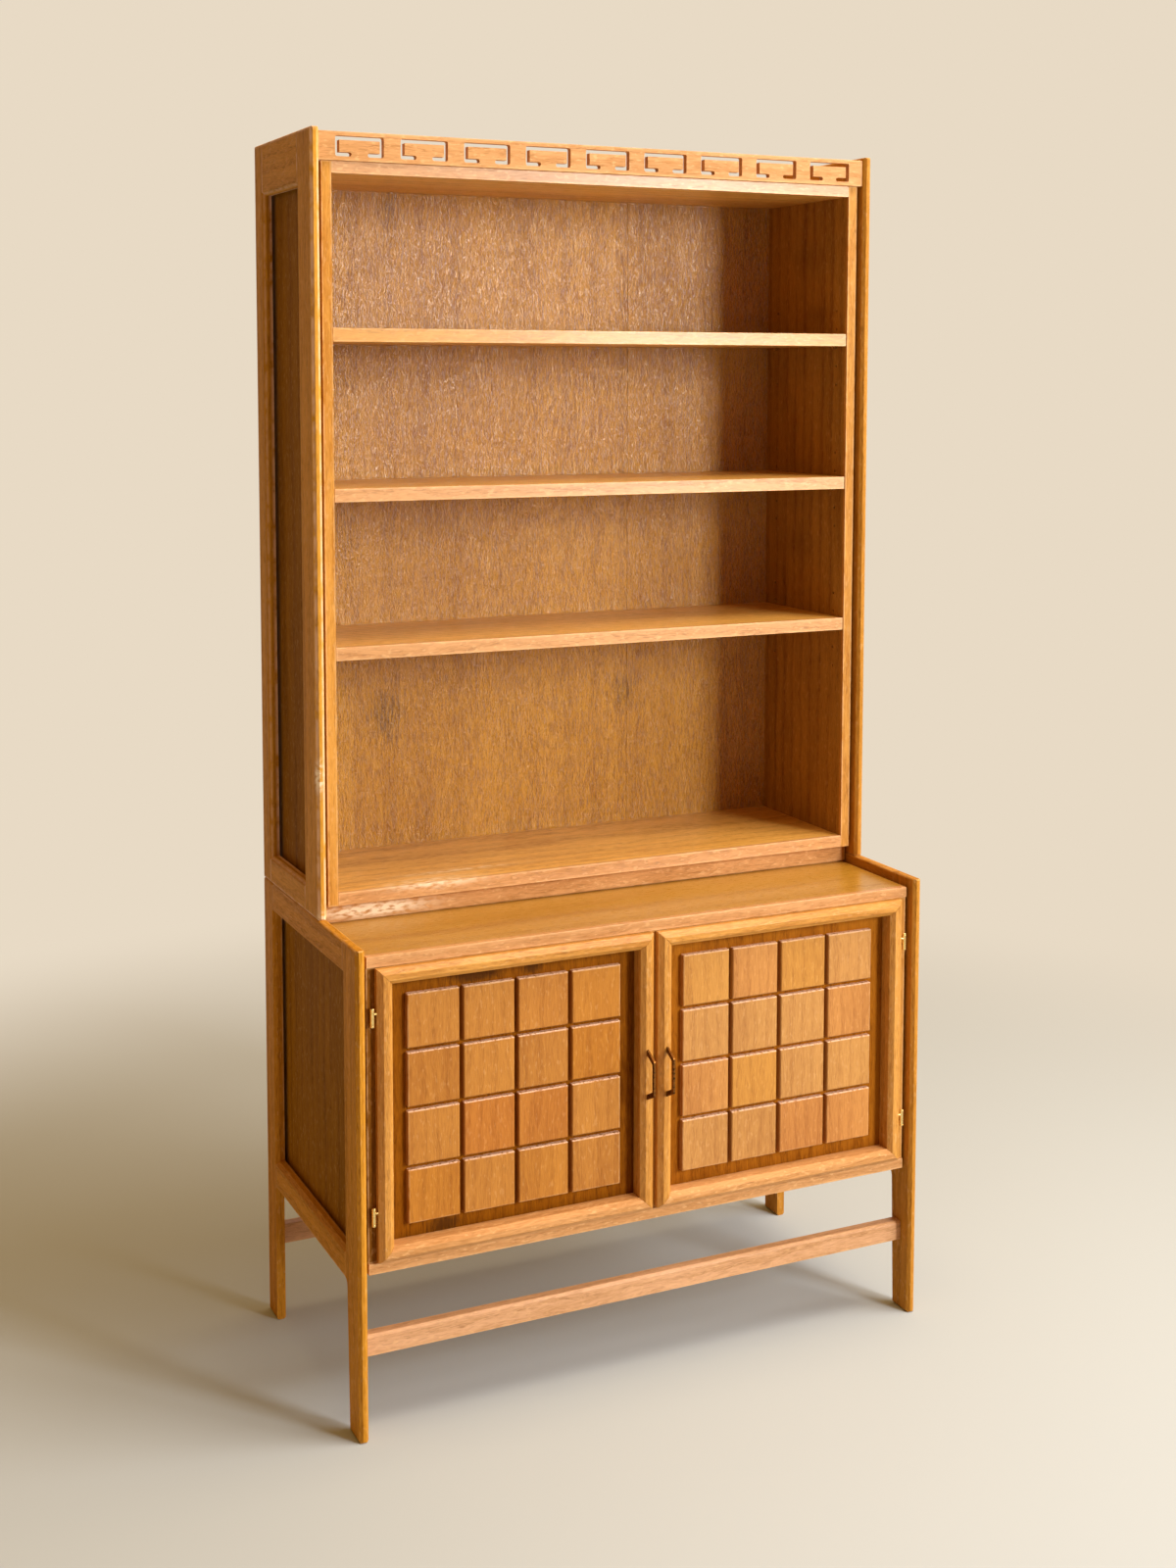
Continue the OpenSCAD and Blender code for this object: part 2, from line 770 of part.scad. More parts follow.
// One key motif about its centre: a top bar, two sides and two hooks turned inward
module key_motif() {
    x = (key_w - key_slot) / 2;
    z = (key_h - key_slot) / 2;
    saw_slot([-x, z], [x, z]);
    for (turn = [0, 1]) mirror([turn, 0]) {
        saw_slot([x, z], [x, -z]);
        saw_slot([x, -z], [x - key_hook + key_slot, -z]);
    }
}

frieze_z = [upper_top_z, cabinet_h - frieze_drop];
frieze_front_d = upper_d - frieze_setback;
key_count = floor(2 * frame_in_x / key_pitch);

module frieze() {
    seated() color("#DBA45F") through([frieze_front_d - frieze_t, frieze_front_d]) difference() {
        translate([-frame_in_x, frieze_z[0]]) square([2 * frame_in_x, frieze_z[1] - frieze_z[0]]);
        for (i = [0 : key_count - 1])
            translate([(i - (key_count - 1) / 2) * key_pitch, (frieze_z[0] + frieze_z[1]) / 2])
                key_motif();
    }
}

// Doors, drawn for the right-hand doorway

// Section of a door frame member: first the distance in from the outer edge, then back
module door_section() {
    polygon([[0, outer_chamfer], [outer_chamfer, 0], [door_frame_w - inner_chamfer, 0],
        [door_frame_w, inner_chamfer], [door_frame_w, rebate_back],
        [door_frame_w - panel_rebate, rebate_back], [door_frame_w - panel_rebate, door_depth],
        [lip_w, door_depth], [lip_w, lip_back], [0, lip_back]]);
}

// A member along +X whose outer edge is its lower side, mitred at both ends
module door_member(length) {
    intersection() {
        translate([length, 0, 0]) rotate([0, -90, 0]) linear_extrude(length) door_section();
        translate([0, door_depth, 0]) rotate([90, 0, 0]) linear_extrude(door_depth)
            polygon([[0, 0], [length, 0], [length - door_frame_w, door_frame_w],
                [door_frame_w, door_frame_w]]);
    }
}

module at_door(x, z) {
    translate([x, -door_front_d, z]) children();
}

module door_hinge_stile(side) {
    on_side(side) color("#D09553") difference() {
        at_door(door_out_x, door_z) mirror([1, 0, 0]) mirror([1, 0, -1]) door_member(door_h);
        for (z = hinge_levels) door_stem_hole(z);
    }
}

module door_meeting_stile(side) {
    on_side(side) color("#D09553") at_door(door_in_x, door_z) mirror([1, 0, -1]) door_member(door_h);
}

module door_top_rail(side) {
    on_side(side) color("#CE9350")
        at_door(door_in_x, door_z + door_h) mirror([0, 0, 1]) door_member(door_w);
}

module door_bottom_rail(side) {
    on_side(side) color("#CE9350") at_door(door_in_x, door_z) door_member(door_w);
}

module door_panel(side) {
    inset = door_frame_w - panel_rebate + panel_gap;
    on_side(side) color("#A86F32") at_door(door_in_x, door_z) translate([inset, rebate_back, inset])
        cube([door_w - 2 * inset, panel_t, door_h - 2 * inset]);
}

// The outline of a tile's edge: its width, then its depth behind the tile face
module tile_profile() {
    polygon([[0, tile_chamfer], [tile_chamfer, 0], [tile_w - tile_chamfer, 0],
        [tile_w, tile_chamfer], [tile_w, tile_t], [0, tile_t]]);
}

module tile() {
    intersection() {
        linear_extrude(tile_w) tile_profile();
        mirror([1, 0, -1]) linear_extrude(tile_w) tile_profile();
    }
}

module door_tiles(side) {
    field_w = tile_columns * tile_step - tile_gap;
    field_h = tile_rows * tile_step - tile_gap;
    on_side(side) color("#C98A45")
        at_door(door_in_x + (door_w - field_w) / 2, door_z + (door_h - field_h) / 2)
            for (i = [0 : tile_columns - 1], j = [0 : tile_rows - 1])
                translate([i * tile_step, rebate_back - tile_t, j * tile_step]) tile();
}

// Hinges: the upper half turns with the door, the lower half and its pin stay on the case

// The stem of the upper half runs into the edge of the door
module door_stem(z, r, start, grip) {
    translate([hinge_x - start, -hinge_d, z + stem_offset]) rotate([0, -90, 0])
        cylinder(h = hinge_to_door - start + grip, r = r);
}

module door_stem_hole(z) {
    door_stem(z, stem_hole_r, hinge_to_door - bore_eps, stem_grip);
}

// The stem of the lower half runs straight back into the face stile
module case_stem(z, r, start, grip) {
    translate([hinge_x, -hinge_d + start, z - stem_offset]) rotate([-90, 0, 0])
        cylinder(h = hinge_d - base_face_d - start + grip, r = r);
}

module case_stem_hole(z) {
    case_stem(z, stem_hole_r, hinge_d - base_face_d - bore_eps, stem_grip);
}

// Half a barrel from its joint upward, with a turned bead before its rounded end
module half_barrel_body() {
    round_r = 1;
    rotate_extrude() difference() {
        square([barrel_r, half_barrel]);
        translate([barrel_r, half_barrel]) rotate(180) corner_waste(round_r);
        translate([barrel_r, half_barrel - 3 * round_r]) circle(d = round_r / 2);
    }
}

module door_hinge_half(z) {
    difference() {
        union() {
            translate([hinge_x, -hinge_d, z]) half_barrel_body();
            door_stem(z, stem_r, barrel_r - stem_inside, stem_grip);
        }
        translate([hinge_x, -hinge_d, z - bore_eps])
            cylinder(h = hinge_pin_l + 2 * bore_eps, d = hinge_pin_dia + hinge_clearance);
    }
}

module case_hinge_half(z) {
    translate([hinge_x, -hinge_d, z]) mirror([0, 0, 1]) half_barrel_body();
    translate([hinge_x, -hinge_d, z - bore_eps]) cylinder(h = hinge_pin_l + bore_eps, d = hinge_pin_dia);
    case_stem(z, stem_r, barrel_r - stem_inside, stem_grip);
}

// How far a stem starts inside the barrel wall
stem_inside = 0.9;

module case_hinges() {
    seated() color("#D8B566") for (turn = [0, 1], z = hinge_levels) mirror([turn, 0, 0])
        case_hinge_half(z);
}

// Magnetic catches screwed under the top board, with their faces just behind the strike plates
catch_air = 0.3;
catch_x = door_in_x + catch_inset;
strike_d = door_front_d - door_depth;
catch_face_d = strike_d - strike_t - catch_air;
catch_body_d = 18;

module door_catches() {
    top = base_ceiling_z;
    drop = top - face_rail_h;
    seated() color("#5A4632") for (turn = [0, 1]) mirror([turn, 0, 0])
        across([catch_x - catch_w / 2, catch_x + catch_w / 2]) polygon([
            [face_back_d - catch_body_d, drop - catch_h], [catch_face_d, drop - catch_h],
            [catch_face_d, drop], [face_back_d, drop],
            [face_back_d, top], [face_back_d - catch_body_d, top]]);
}

// The upper hinge halves and the strike plate that turn with a door
module door_hardware(side) {
    strike_z = door_z + door_h - lip_w;
    on_side(side) color("#D8B566") {
        for (z = hinge_levels) door_hinge_half(z);
        block([catch_x - catch_w / 2, catch_x + catch_w / 2], [strike_d - strike_t, strike_d],
            [strike_z - catch_h + panel_gap, strike_z]);
    }
}

// Handles

// Points of an arc that rounds the corner at b between a and c
function unit(v) = v / norm(v);
function round_corner(a, b, c, r, steps = 6) =
    let (u = unit(a - b), w = unit(c - b), half = acos(u * w) / 2,
        centre = b + unit(u + w) * r / sin(half), sweep = 90 - half,
        from = atan2(b[1] - centre[1], b[0] - centre[0]),
        turn = cross(b - a, c - b) > 0 ? 1 : -1)
    [for (i = [0 : steps]) let (t = from + turn * sweep * (2 * i / steps - 1))
        centre + r * [cos(t), sin(t)]];

// A handle plate seen from the side: two legs that taper to a straight grip
module handle_outline() {
    foot_out = (handle_pitch + handle_foot) / 2;
    foot_in = (handle_pitch - handle_foot) / 2;
    grip_out = handle_grip_l / 2;
    grip_in = grip_out - handle_grip_t * 1.1;
    reach_in = handle_reach - handle_grip_t;
    bend = handle_bend_r;
    lower = [[0, -foot_out], [handle_reach, -grip_out]];
    upper = [[handle_reach, grip_out], [0, foot_out]];
    inner_upper = [[0, foot_in], [reach_in, grip_in]];
    inner_lower = [[reach_in, -grip_in], [0, -foot_in]];
    polygon(concat(
        [lower[0]], round_corner(lower[0], lower[1], upper[0], bend),
        round_corner(lower[1], upper[0], upper[1], bend), [upper[1]],
        [inner_upper[0]], round_corner(inner_upper[0], inner_upper[1], inner_lower[0], bend / 2),
        round_corner(inner_upper[1], inner_lower[0], inner_lower[1], bend / 2), [inner_lower[1]]));
}

module door_handle(side) {
    x = door_in_x + handle_inset;
    on_side(side) color("#6E5228") across([x - handle_t / 2, x + handle_t / 2])
        translate([door_front_d, door_z + door_h / 2]) handle_outline();
}

base_front_leg("left");  // base_left_front_leg
base_front_leg("right");  // base_right_front_leg
base_back_leg("left");  // base_left_back_leg
base_back_leg("right");  // base_right_back_leg
base_top_rail("left");  // base_left_top_rail
base_top_rail("right");  // base_right_top_rail
base_bottom_rail("left");  // base_left_bottom_rail
base_bottom_rail("right");  // base_right_bottom_rail
base_side("left");  // base_left_side
base_side("right");  // base_right_side
base_face_stile("left");  // base_left_face_stile
base_face_stile("right");  // base_right_face_stile
base_centre_post();
base_face_rails();
base_top_board();
base_bottom_board();
base_partition();
base_back_panel();
base_shelves();
front_stretcher();
back_stretcher();
frame_spacers();
shelf_pins();
case_hinges();
door_catches();
upper_front_stile("left");  // upper_left_front_stile
upper_front_stile("right");  // upper_right_front_stile
upper_back_stile("left");  // upper_left_back_stile
upper_back_stile("right");  // upper_right_back_stile
upper_top_rail("left");  // upper_left_top_rail
upper_top_rail("right");  // upper_right_top_rail
upper_bottom_rail("left");  // upper_left_bottom_rail
upper_bottom_rail("right");  // upper_right_bottom_rail
upper_side("left");  // upper_left_side
upper_side("right");  // upper_right_side
upper_top_board();
upper_bottom_board();
upper_back_panel();
upper_plinth();
frieze();
shelf(0);  // shelf_1
shelf(1);  // shelf_2
shelf(2);  // shelf_3
door_hinge_stile("left");  // left_door_hinge_stile
door_meeting_stile("left");  // left_door_meeting_stile
door_top_rail("left");  // left_door_top_rail
door_bottom_rail("left");  // left_door_bottom_rail
door_panel("left");  // left_door_panel
door_tiles("left");  // left_door_tiles
door_handle("left");  // left_door_handle
door_hardware("left");  // left_door_hardware
door_hinge_stile("right");  // right_door_hinge_stile
door_meeting_stile("right");  // right_door_meeting_stile
door_top_rail("right");  // right_door_top_rail
door_bottom_rail("right");  // right_door_bottom_rail
door_panel("right");  // right_door_panel
door_tiles("right");  // right_door_tiles
door_handle("right");  // right_door_handle
door_hardware("right");  // right_door_hardware
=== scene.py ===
"""Looks of an oak bookshelf cabinet: open shelves on a two-door base, oiled oak and brass.

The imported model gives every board, rail, hinge and handle its shape and place. This script gives
each of them a finish, and sets the floor, the lamps and the camera. Lengths are in metres.
"""

import logging
import math
from dataclasses import dataclass, replace
from enum import Enum
from typing import Callable, Optional, Sequence, Union

import bmesh
import bpy
from mathutils import Matrix, Vector


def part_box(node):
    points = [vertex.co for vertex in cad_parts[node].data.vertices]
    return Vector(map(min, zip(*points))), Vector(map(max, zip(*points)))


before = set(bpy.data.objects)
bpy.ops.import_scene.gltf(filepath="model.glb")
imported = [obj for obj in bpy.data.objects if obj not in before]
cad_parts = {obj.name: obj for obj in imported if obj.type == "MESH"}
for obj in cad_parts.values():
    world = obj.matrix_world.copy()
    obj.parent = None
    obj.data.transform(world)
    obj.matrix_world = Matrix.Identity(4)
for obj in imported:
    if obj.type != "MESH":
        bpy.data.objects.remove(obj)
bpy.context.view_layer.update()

logging.basicConfig(level=logging.INFO, format="%(levelname)s %(message)s")
log = logging.getLogger("cabinet")

Socket = bpy.types.NodeSocket
Source = Union[Socket, float, str, Sequence[float]]
Triple = tuple[float, float, float]


def linear(code: str) -> tuple[float, float, float, float]:
    """Turns a display colour into the linear one that a shader takes.

    Args:
        code: Six hexadecimal digits, red first.

    Returns:
        Linear red, green and blue, and an alpha of 1.
    """
    parts = [int(code[i:i + 2], 16) / 255 for i in (0, 2, 4)]
    bent = [c / 12.92 if c <= 0.04045 else ((c + 0.055) / 1.055) ** 2.4 for c in parts]
    return bent[0], bent[1], bent[2], 1.0


class Graph:
    """A shader node tree with short ways to add and join nodes."""

    def __init__(self, tree: bpy.types.ShaderNodeTree) -> None:
        """Keeps the node tree to build in."""
        self.tree = tree

    def add(self, kind: str, *sources: Optional[Source], **values: object) -> bpy.types.Node:
        """Adds a node.

        Args:
            kind: The node's type without its ShaderNode prefix.
            *sources: What its first inputs get.
            **values: Properties to set on the node.

        Returns:
            The new node.
        """
        node = self.tree.nodes.new(kind if kind.startswith("Node") else "ShaderNode" + kind)
        for name, value in values.items():
            setattr(node, name, value)
        for socket, source in zip(node.inputs, sources):
            self.feed(socket, source)
        return node

    def feed(self, socket: Socket, source: Optional[Source]) -> None:
        """Links a socket to another one, or sets its value.

        Args:
            socket: The input to fill.
            source: A socket, a number, a display colour or a list. None leaves the input alone.
        """
        if isinstance(source, bpy.types.NodeSocket):
            self.tree.links.new(source, socket)
        elif source is not None:
            socket.default_value = linear(source) if isinstance(source, str) else source

    def fill(self, node: bpy.types.Node, given: dict[str, Optional[Source]]) -> bpy.types.Node:
        """Feeds a node's inputs by name.

        Args:
            node: The node.
            given: What each input gets.

        Returns:
            The node.
        """
        for name, source in given.items():
            self.feed(node.inputs[name], source)
        return node

    def group(self, tree: bpy.types.ShaderNodeTree, given: dict[str, Source]) -> bpy.types.Node:
        """Places a shared group and feeds its inputs by name."""
        return self.fill(self.add("Group", node_tree=tree), given)

    def math(self, operation: str, a: Source, b: Source = 0.0, c: Source = 0.0) -> Socket:
        """Does arithmetic on up to three numbers."""
        return self.add("Math", a, b, c, operation=operation).outputs[0]

    def vector(self, operation: str, a: Source, b: Optional[Source] = None) -> Socket:
        """Does vector arithmetic.

        Args:
            operation: The Vector Math node's operation.
            a: First operand.
            b: Second operand, which may be left out.

        Returns:
            The result, a number for the operations that give one.
        """
        node = self.add("VectorMath", a, b, operation=operation)
        scalar = operation in ("LENGTH", "DISTANCE", "DOT_PRODUCT")
        return node.outputs["Value" if scalar else "Vector"]

    def split(self, vector: Source) -> tuple[Socket, Socket, Socket]:
        """Takes a vector apart into its X, Y and Z."""
        parts = self.add("SeparateXYZ", vector).outputs
        return parts[0], parts[1], parts[2]

    def join(self, x: Source, y: Source, z: Source) -> Socket:
        """Makes a vector of three numbers."""
        return self.add("CombineXYZ", x, y, z).outputs[0]

    def noise(self, vector: Source, scale: float = 1.0, detail: float = 2.0, rough: float = 0.5,
              warp: float = 0.0, output: str = "Fac") -> Socket:
        """Adds a noise about 0.5, "Fac" for a number or "Color" for three."""
        given = {"Scale": scale, "Detail": detail, "Roughness": rough, "Distortion": warp}
        return self.fill(self.add("TexNoise", vector), given).outputs[output]

    def step(self, value: Source, low: float, high: float) -> Socket:
        """Eases a value from 0 at the low limit to 1 at the high one."""
        node = self.add("MapRange", value, low, high, interpolation_type="SMOOTHSTEP")
        return node.outputs["Result"]

    def mix(self, amount: Source, a: Source, b: Source, blend: str = "MIX") -> Socket:
        """Mixes two colours.

        Args:
            amount: How much of the second colour is used.
            a: First colour.
            b: Second colour.
            blend: The blend type.

        Returns:
            The mixed colour.
        """
        node = self.add("Mix", data_type="RGBA", blend_type=blend, clamp_factor=True)
        for index, source in ((0, amount), (6, a), (7, b)):
            self.feed(node.inputs[index], source)
        return node.outputs[2]

    def flip(self, value: Source) -> Socket:
        """Takes a value from 1."""
        return self.math("SUBTRACT", 1.0, value)

    def bump(self, height: Source, depth: float, normal: Optional[Socket] = None) -> Socket:
        """Adds a bump, on top of another one where its normal is given."""
        given = {"Distance": depth, "Height": height, "Normal": normal}
        return self.fill(self.add("Bump"), given).outputs["Normal"]


class Effects:
    """The shader node groups that the materials share.

    Attributes:
        VECTORS: The sockets of the groups that carry three numbers.
        DRIFT, FIBRES, STREAKS, CLOUDS, PORES, RAYS, WRINKLES: How fine each pattern is, first
            along the grain and then across it.
        BEND: How far the drift bends the grain along and across it.
        KNOT_PUSH: How far a knot pushes the growth rings out.
        BROAD: Noise scale of the drift and the wrinkles.
        GRIME_AND_SHADE: How far the dirt and painted shade reach in from an edge.
        RIM, TOP: Where a tile's rim and its top edge begin and end to fade.
    """

    VECTORS = ("Position", "Centre", "Size", "Low", "High", "Board", "Pith", "Start", "Cell")
    DRIFT = (1.6, 5.0, 5.0)
    FIBRES = (40.0, 380.0, 380.0)
    STREAKS = (4.0, 58.0, 58.0)
    CLOUDS = (1.8, 8.0, 8.0)
    PORES = (60.0, 620.0, 620.0)
    RAYS = (95.0, 210.0, 210.0)
    WRINKLES = (40.0, 210.0, 210.0)
    BEND = (0.0, 0.022, 0.022)
    KNOT_PUSH = 0.02
    BROAD = 5.0
    GRIME_AND_SHADE = 0.02
    RIM = (0.0002, 0.0024)
    TOP = (0.0002, 0.0022)

    def __init__(self) -> None:
        """Builds every group once."""
        build = self.build
        self.spot = build("soft spot", self.spot_nodes, ("Position", "Centre", "Size"), ("Mask",))
        self.edges = build("edge marks", self.edge_nodes, ("Position", "Low", "High", "Reach"),
                           ("Mask", "Grime and shade"))
        self.oak = build("oak grain", self.oak_nodes, ("Board", "Pith", "Ring width", "Knots"),
                         ("Band", "Fibre", "Streak", "Cloud", "Pores", "Fleck", "Height"))
        self.wrinkle = build("lacquer wrinkles", self.wrinkle_nodes, ("Board",),
                             ("Height", "Hollow"))
        self.tiles = build("tile cells", self.tile_nodes, ("Position", "Start", "Step", "Width"),
                           ("Cell", "Chance", "Rim", "Top"))
        self.tarnish = build("tarnish", self.tarnish_nodes, ("Position",), ("Mask", "Height"))

    @classmethod
    def build(cls, name: str, draw: Callable[[Graph, dict[str, Socket]], dict[str, Socket]],
              inputs: Sequence[str], outputs: Sequence[str]) -> bpy.types.ShaderNodeTree:
        """Makes one group.

        Args:
            name: The group's name.
            draw: Adds the nodes and returns a socket for each output.
            inputs: Names of the inputs.
            outputs: Names of the outputs.

        Returns:
            The node group.
        """
        tree = bpy.data.node_groups.new(name, "ShaderNodeTree")
        for label, way in [(n, "INPUT") for n in inputs] + [(n, "OUTPUT") for n in outputs]:
            kind = "NodeSocketVector" if label in cls.VECTORS else "NodeSocketFloat"
            tree.interface.new_socket(label, in_out=way, socket_type=kind)
        graph = Graph(tree)
        entry = graph.add("NodeGroupInput")
        results = draw(graph, {label: entry.outputs[label] for label in inputs})
        leave = graph.add("NodeGroupOutput")
        for label, socket in results.items():
            graph.feed(leave.inputs[label], socket)
        return tree

    @staticmethod
    def spot_nodes(g: Graph, given: dict[str, Socket]) -> dict[str, Socket]:
        """Draws a soft oval spot, 1 at its centre.

        Args:
            g: The graph to draw in.
            given: Position, Centre and Size, the half widths of the spot.

        Returns:
            The mask.
        """
        away = g.vector("SUBTRACT", given["Position"], given["Centre"])
        away = g.vector("DIVIDE", away, given["Size"])
        square = g.vector("DOT_PRODUCT", away, away)
        return {"Mask": g.math("POWER", math.e, g.math("MULTIPLY", square, -1.0))}

    @staticmethod
    def edge_nodes(g: Graph, given: dict[str, Socket]) -> dict[str, Socket]:
        """Finds the pale strips along the long edges of a board and the dirt and painted shade at
        its ends.

        Args:
            g: The graph to draw in.
            given: Position, the board's Low and High corners, and Reach, the width of the strips.

        Returns:
            The mask of the pale edges, worn wood and painted highlight, and the mask of dirt and
            painted shade.
        """
        near_low = g.vector("SUBTRACT", given["Position"], given["Low"])
        near_high = g.vector("SUBTRACT", given["High"], given["Position"])
        x, y, z = g.split(g.vector("ABSOLUTE", g.vector("MINIMUM", near_low, near_high)))
        least = g.math("MINIMUM", x, g.math("MINIMUM", y, z))
        most = g.math("MAXIMUM", x, g.math("MAXIMUM", y, z))
        total = g.math("ADD", x, g.math("ADD", y, z))
        second = g.math("SUBTRACT", total, g.math("ADD", least, most))
        # Pale strips along the edges: worn wood, and a painted highlight where a finish makes them
        # wide and pale.
        rub_and_highlight = g.flip(g.step(g.math("DIVIDE", second, given["Reach"]), 0.3, 1.2))
        ragged = g.step(g.noise(given["Position"], scale=38.0, detail=4.0), 0.3, 0.6)
        # Darker near the edges: dirt and painted shade.
        grime_and_shade = g.flip(g.step(second, 0.0, Effects.GRIME_AND_SHADE))
        return {"Mask": g.math("MULTIPLY", rub_and_highlight, ragged), "Grime and shade": grime_and_shade}

    @staticmethod
    def oak_nodes(g: Graph, given: dict[str, Socket]) -> dict[str, Socket]:
        """Draws oak: growth rings round a pith, fibres, streaks, open pores and ray fleck.

        Args:
            g: The graph to draw in.
            given: Board, the place in the board with X along the grain; Pith, the heart of the
                tree beside the board; Ring width; Knots, a mask that pushes the rings outward.

        Returns:
            Masks of the porous bands, fibres, streaks, clouds, pores and flecks, and a height.
        """
        board = given["Board"]
        wide = g.vector("MULTIPLY", board, Effects.DRIFT)
        slow = g.noise(wide, scale=Effects.BROAD, detail=3.0, output="Color")
        drift = g.vector("MULTIPLY", g.vector("SUBTRACT", slow, (0.5, 0.5, 0.5)), Effects.BEND)
        bent = g.vector("ADD", board, drift)
        beside = g.vector("MULTIPLY", g.vector("SUBTRACT", bent, given["Pith"]), (0.0, 1.0, 1.0))
        heart = g.vector("LENGTH", beside)
        pushed = g.math("MULTIPLY_ADD", given["Knots"], Effects.KNOT_PUSH, heart)
        ring = g.math("FRACT", g.math("DIVIDE", pushed, given["Ring width"]))
        band = g.math("ADD", g.flip(g.step(ring, 0.02, 0.5)), g.step(ring, 0.88, 1.0))
        fibre = g.noise(g.vector("MULTIPLY", bent, Effects.FIBRES), detail=3.0, rough=0.55)
        streak = g.noise(g.vector("MULTIPLY", bent, Effects.STREAKS))
        cloud = g.noise(g.vector("MULTIPLY", board, Effects.CLOUDS))
        fine = g.noise(g.vector("MULTIPLY", bent, Effects.PORES))
        open_grain = g.math("MULTIPLY_ADD", band, 0.55, 0.45)
        pores = g.math("MULTIPLY", g.step(fine, 0.52, 0.64), open_grain)
        rays = g.noise(g.vector("MULTIPLY", board, Effects.RAYS), rough=0.4)
        height = g.math("SUBTRACT", g.math("MULTIPLY", fibre, 0.9), g.math("MULTIPLY", pores, 0.45))
        return {"Band": band, "Fibre": fibre, "Streak": streak, "Cloud": cloud, "Pores": pores,
                "Fleck": g.step(rays, 0.58, 0.72), "Height": height}

    @staticmethod
    def wrinkle_nodes(g: Graph, given: dict[str, Socket]) -> dict[str, Socket]:
        """Draws the wavy ridges of an old shrunken lacquer, long along the grain.

        Args:
            g: The graph to draw in.
            given: Board, the place in the board with X along the grain.

        Returns:
            The height and a mask of the hollows.
        """
        ridges = g.vector("MULTIPLY", given["Board"], Effects.WRINKLES)
        height = g.noise(ridges, scale=Effects.BROAD, rough=0.45, warp=0.8)
        return {"Height": height, "Hollow": g.flip(g.step(height, 0.3, 0.5))}

    @staticmethod
    def tile_nodes(g: Graph, given: dict[str, Socket]) -> dict[str, Socket]:
        """Numbers the tiles of a grid and finds the rim of each.

        Args:
            g: The graph to draw in.
            given: Position; Start, the lower left corner of the grid; a tile's Step and Width.

        Returns:
            Three chance numbers and one for each cell, the rim and the top edge.
        """
        step = g.join(given["Step"], 1.0, given["Step"])
        scaled = g.vector("DIVIDE", g.vector("SUBTRACT", given["Position"], given["Start"]), step)
        cell = g.vector("MULTIPLY", g.vector("FLOOR", scaled), (1.0, 0.0, 1.0))
        chance = g.add("TexWhiteNoise", noise_dimensions="3D")
        g.feed(chance.inputs["Vector"], g.vector("ADD", cell, given["Start"]))
        inner = g.vector("MULTIPLY", g.vector("FRACTION", scaled), step)
        x, _, z = g.split(inner)
        right = g.math("SUBTRACT", given["Width"], x)
        above = g.math("SUBTRACT", given["Width"], z)
        nearest = g.math("MINIMUM", g.math("MINIMUM", x, right), g.math("MINIMUM", z, above))
        return {"Cell": chance.outputs["Color"], "Chance": chance.outputs["Value"],
                "Rim": g.flip(g.step(nearest, *Effects.RIM)),
                "Top": g.flip(g.step(above, *Effects.TOP))}

    @staticmethod
    def tarnish_nodes(g: Graph, given: dict[str, Socket]) -> dict[str, Socket]:
        """Draws the clouded stains and fine scratches of old brass.

        Args:
            g: The graph to draw in.
            given: Position.

        Returns:
            The mask and the height.
        """
        cloud = g.noise(given["Position"], scale=220.0, detail=4.0, rough=0.6)
        scratch = g.noise(g.vector("MULTIPLY", given["Position"], (900.0, 900.0, 60.0)))
        return {"Mask": g.step(cloud, 0.42, 0.66), "Height": g.math("ADD", cloud, scratch)}


class Grain(Enum):
    """The direction that a board's grain runs in, with the order of axes that puts it first."""

    SIDEWAYS = (0, 1, 2)
    FRONT_TO_BACK = (1, 0, 2)
    UPRIGHT = (2, 0, 1)


@dataclass(frozen=True)
class OakFinish:
    """An oak surface: its colours, sheen and relief.

    Attributes:
        light: Colour of the pale wood.
        dark: Colour of the dense wood.
        pore: Colour in the pores.
        ring: Width of the growth rings.
        bands: Strength of the growth rings.
        fibres: Strength of the fine fibres.
        streaks: Strength of the broad streaks.
        fleck: Strength of the pale ray fleck.
        roughness: Mean roughness.
        gloss: Strength of the reflection.
        coat: Weight of the clear lacquer.
        pores: Strength of the open pores.
        relief: Depth of the grain's relief.
        wrinkles: Depth of the lacquer's wrinkles, which also sets painted shade in their hollows.
        wear_and_highlight: Strength of the pale edges: worn wood, and on the left frames a painted
            highlight.
        reach: Width of the pale edges.
        wear_and_highlight_colour: Colour of the pale edges.
        grime_and_shade: Strength of the dirt and painted shade at the ends and edges.
    """

    light: str
    dark: str
    pore: str
    ring: float = 0.011
    bands: float = 0.3
    fibres: float = 1.2
    streaks: float = 0.8
    fleck: float = 0.12
    roughness: float = 0.44
    gloss: float = 0.25
    coat: float = 0.04
    pores: float = 0.4
    relief: float = 0.00014
    wrinkles: float = 0.0
    wear_and_highlight: float = 0.4
    reach: float = 0.0028
    wear_and_highlight_colour: str = "EBC088"
    grime_and_shade: float = 0.0


@dataclass(frozen=True)
class Spot:
    """A knot or a worn patch on a board.

    Attributes:
        centre: Its place.
        size: Its half widths.
        strength: How strong it is.
    """

    centre: Triple
    size: Triple
    strength: float = 1.0


@dataclass(frozen=True)
class Board:
    """How one board is cut: its finish, grain and blemishes.

    Attributes:
        finish: The finish.
        grain: The direction of the grain.
        seed: Chooses the part of the tree that the board comes from.
        lipping: Width of the solid strip along the front edge, 0 for none.
        lip_finish: Finish of that strip.
        knots: Knots in the board.
        worn: Patches worn pale.
        dark: Patches darkened by handling, and painted shadow.
        tiles: Step and width of a grid of separate tiles, or None for one board.
        leaf: Width of the veneer leaves that lie side by side, 0 for solid wood.
    """

    finish: OakFinish
    grain: Grain
    seed: float
    lipping: float = 0.0
    lip_finish: Optional[OakFinish] = None
    knots: tuple[Spot, ...] = ()
    worn: tuple[Spot, ...] = ()
    dark: tuple[Spot, ...] = ()
    tiles: Optional[tuple[float, float]] = None
    leaf: float = 0.0


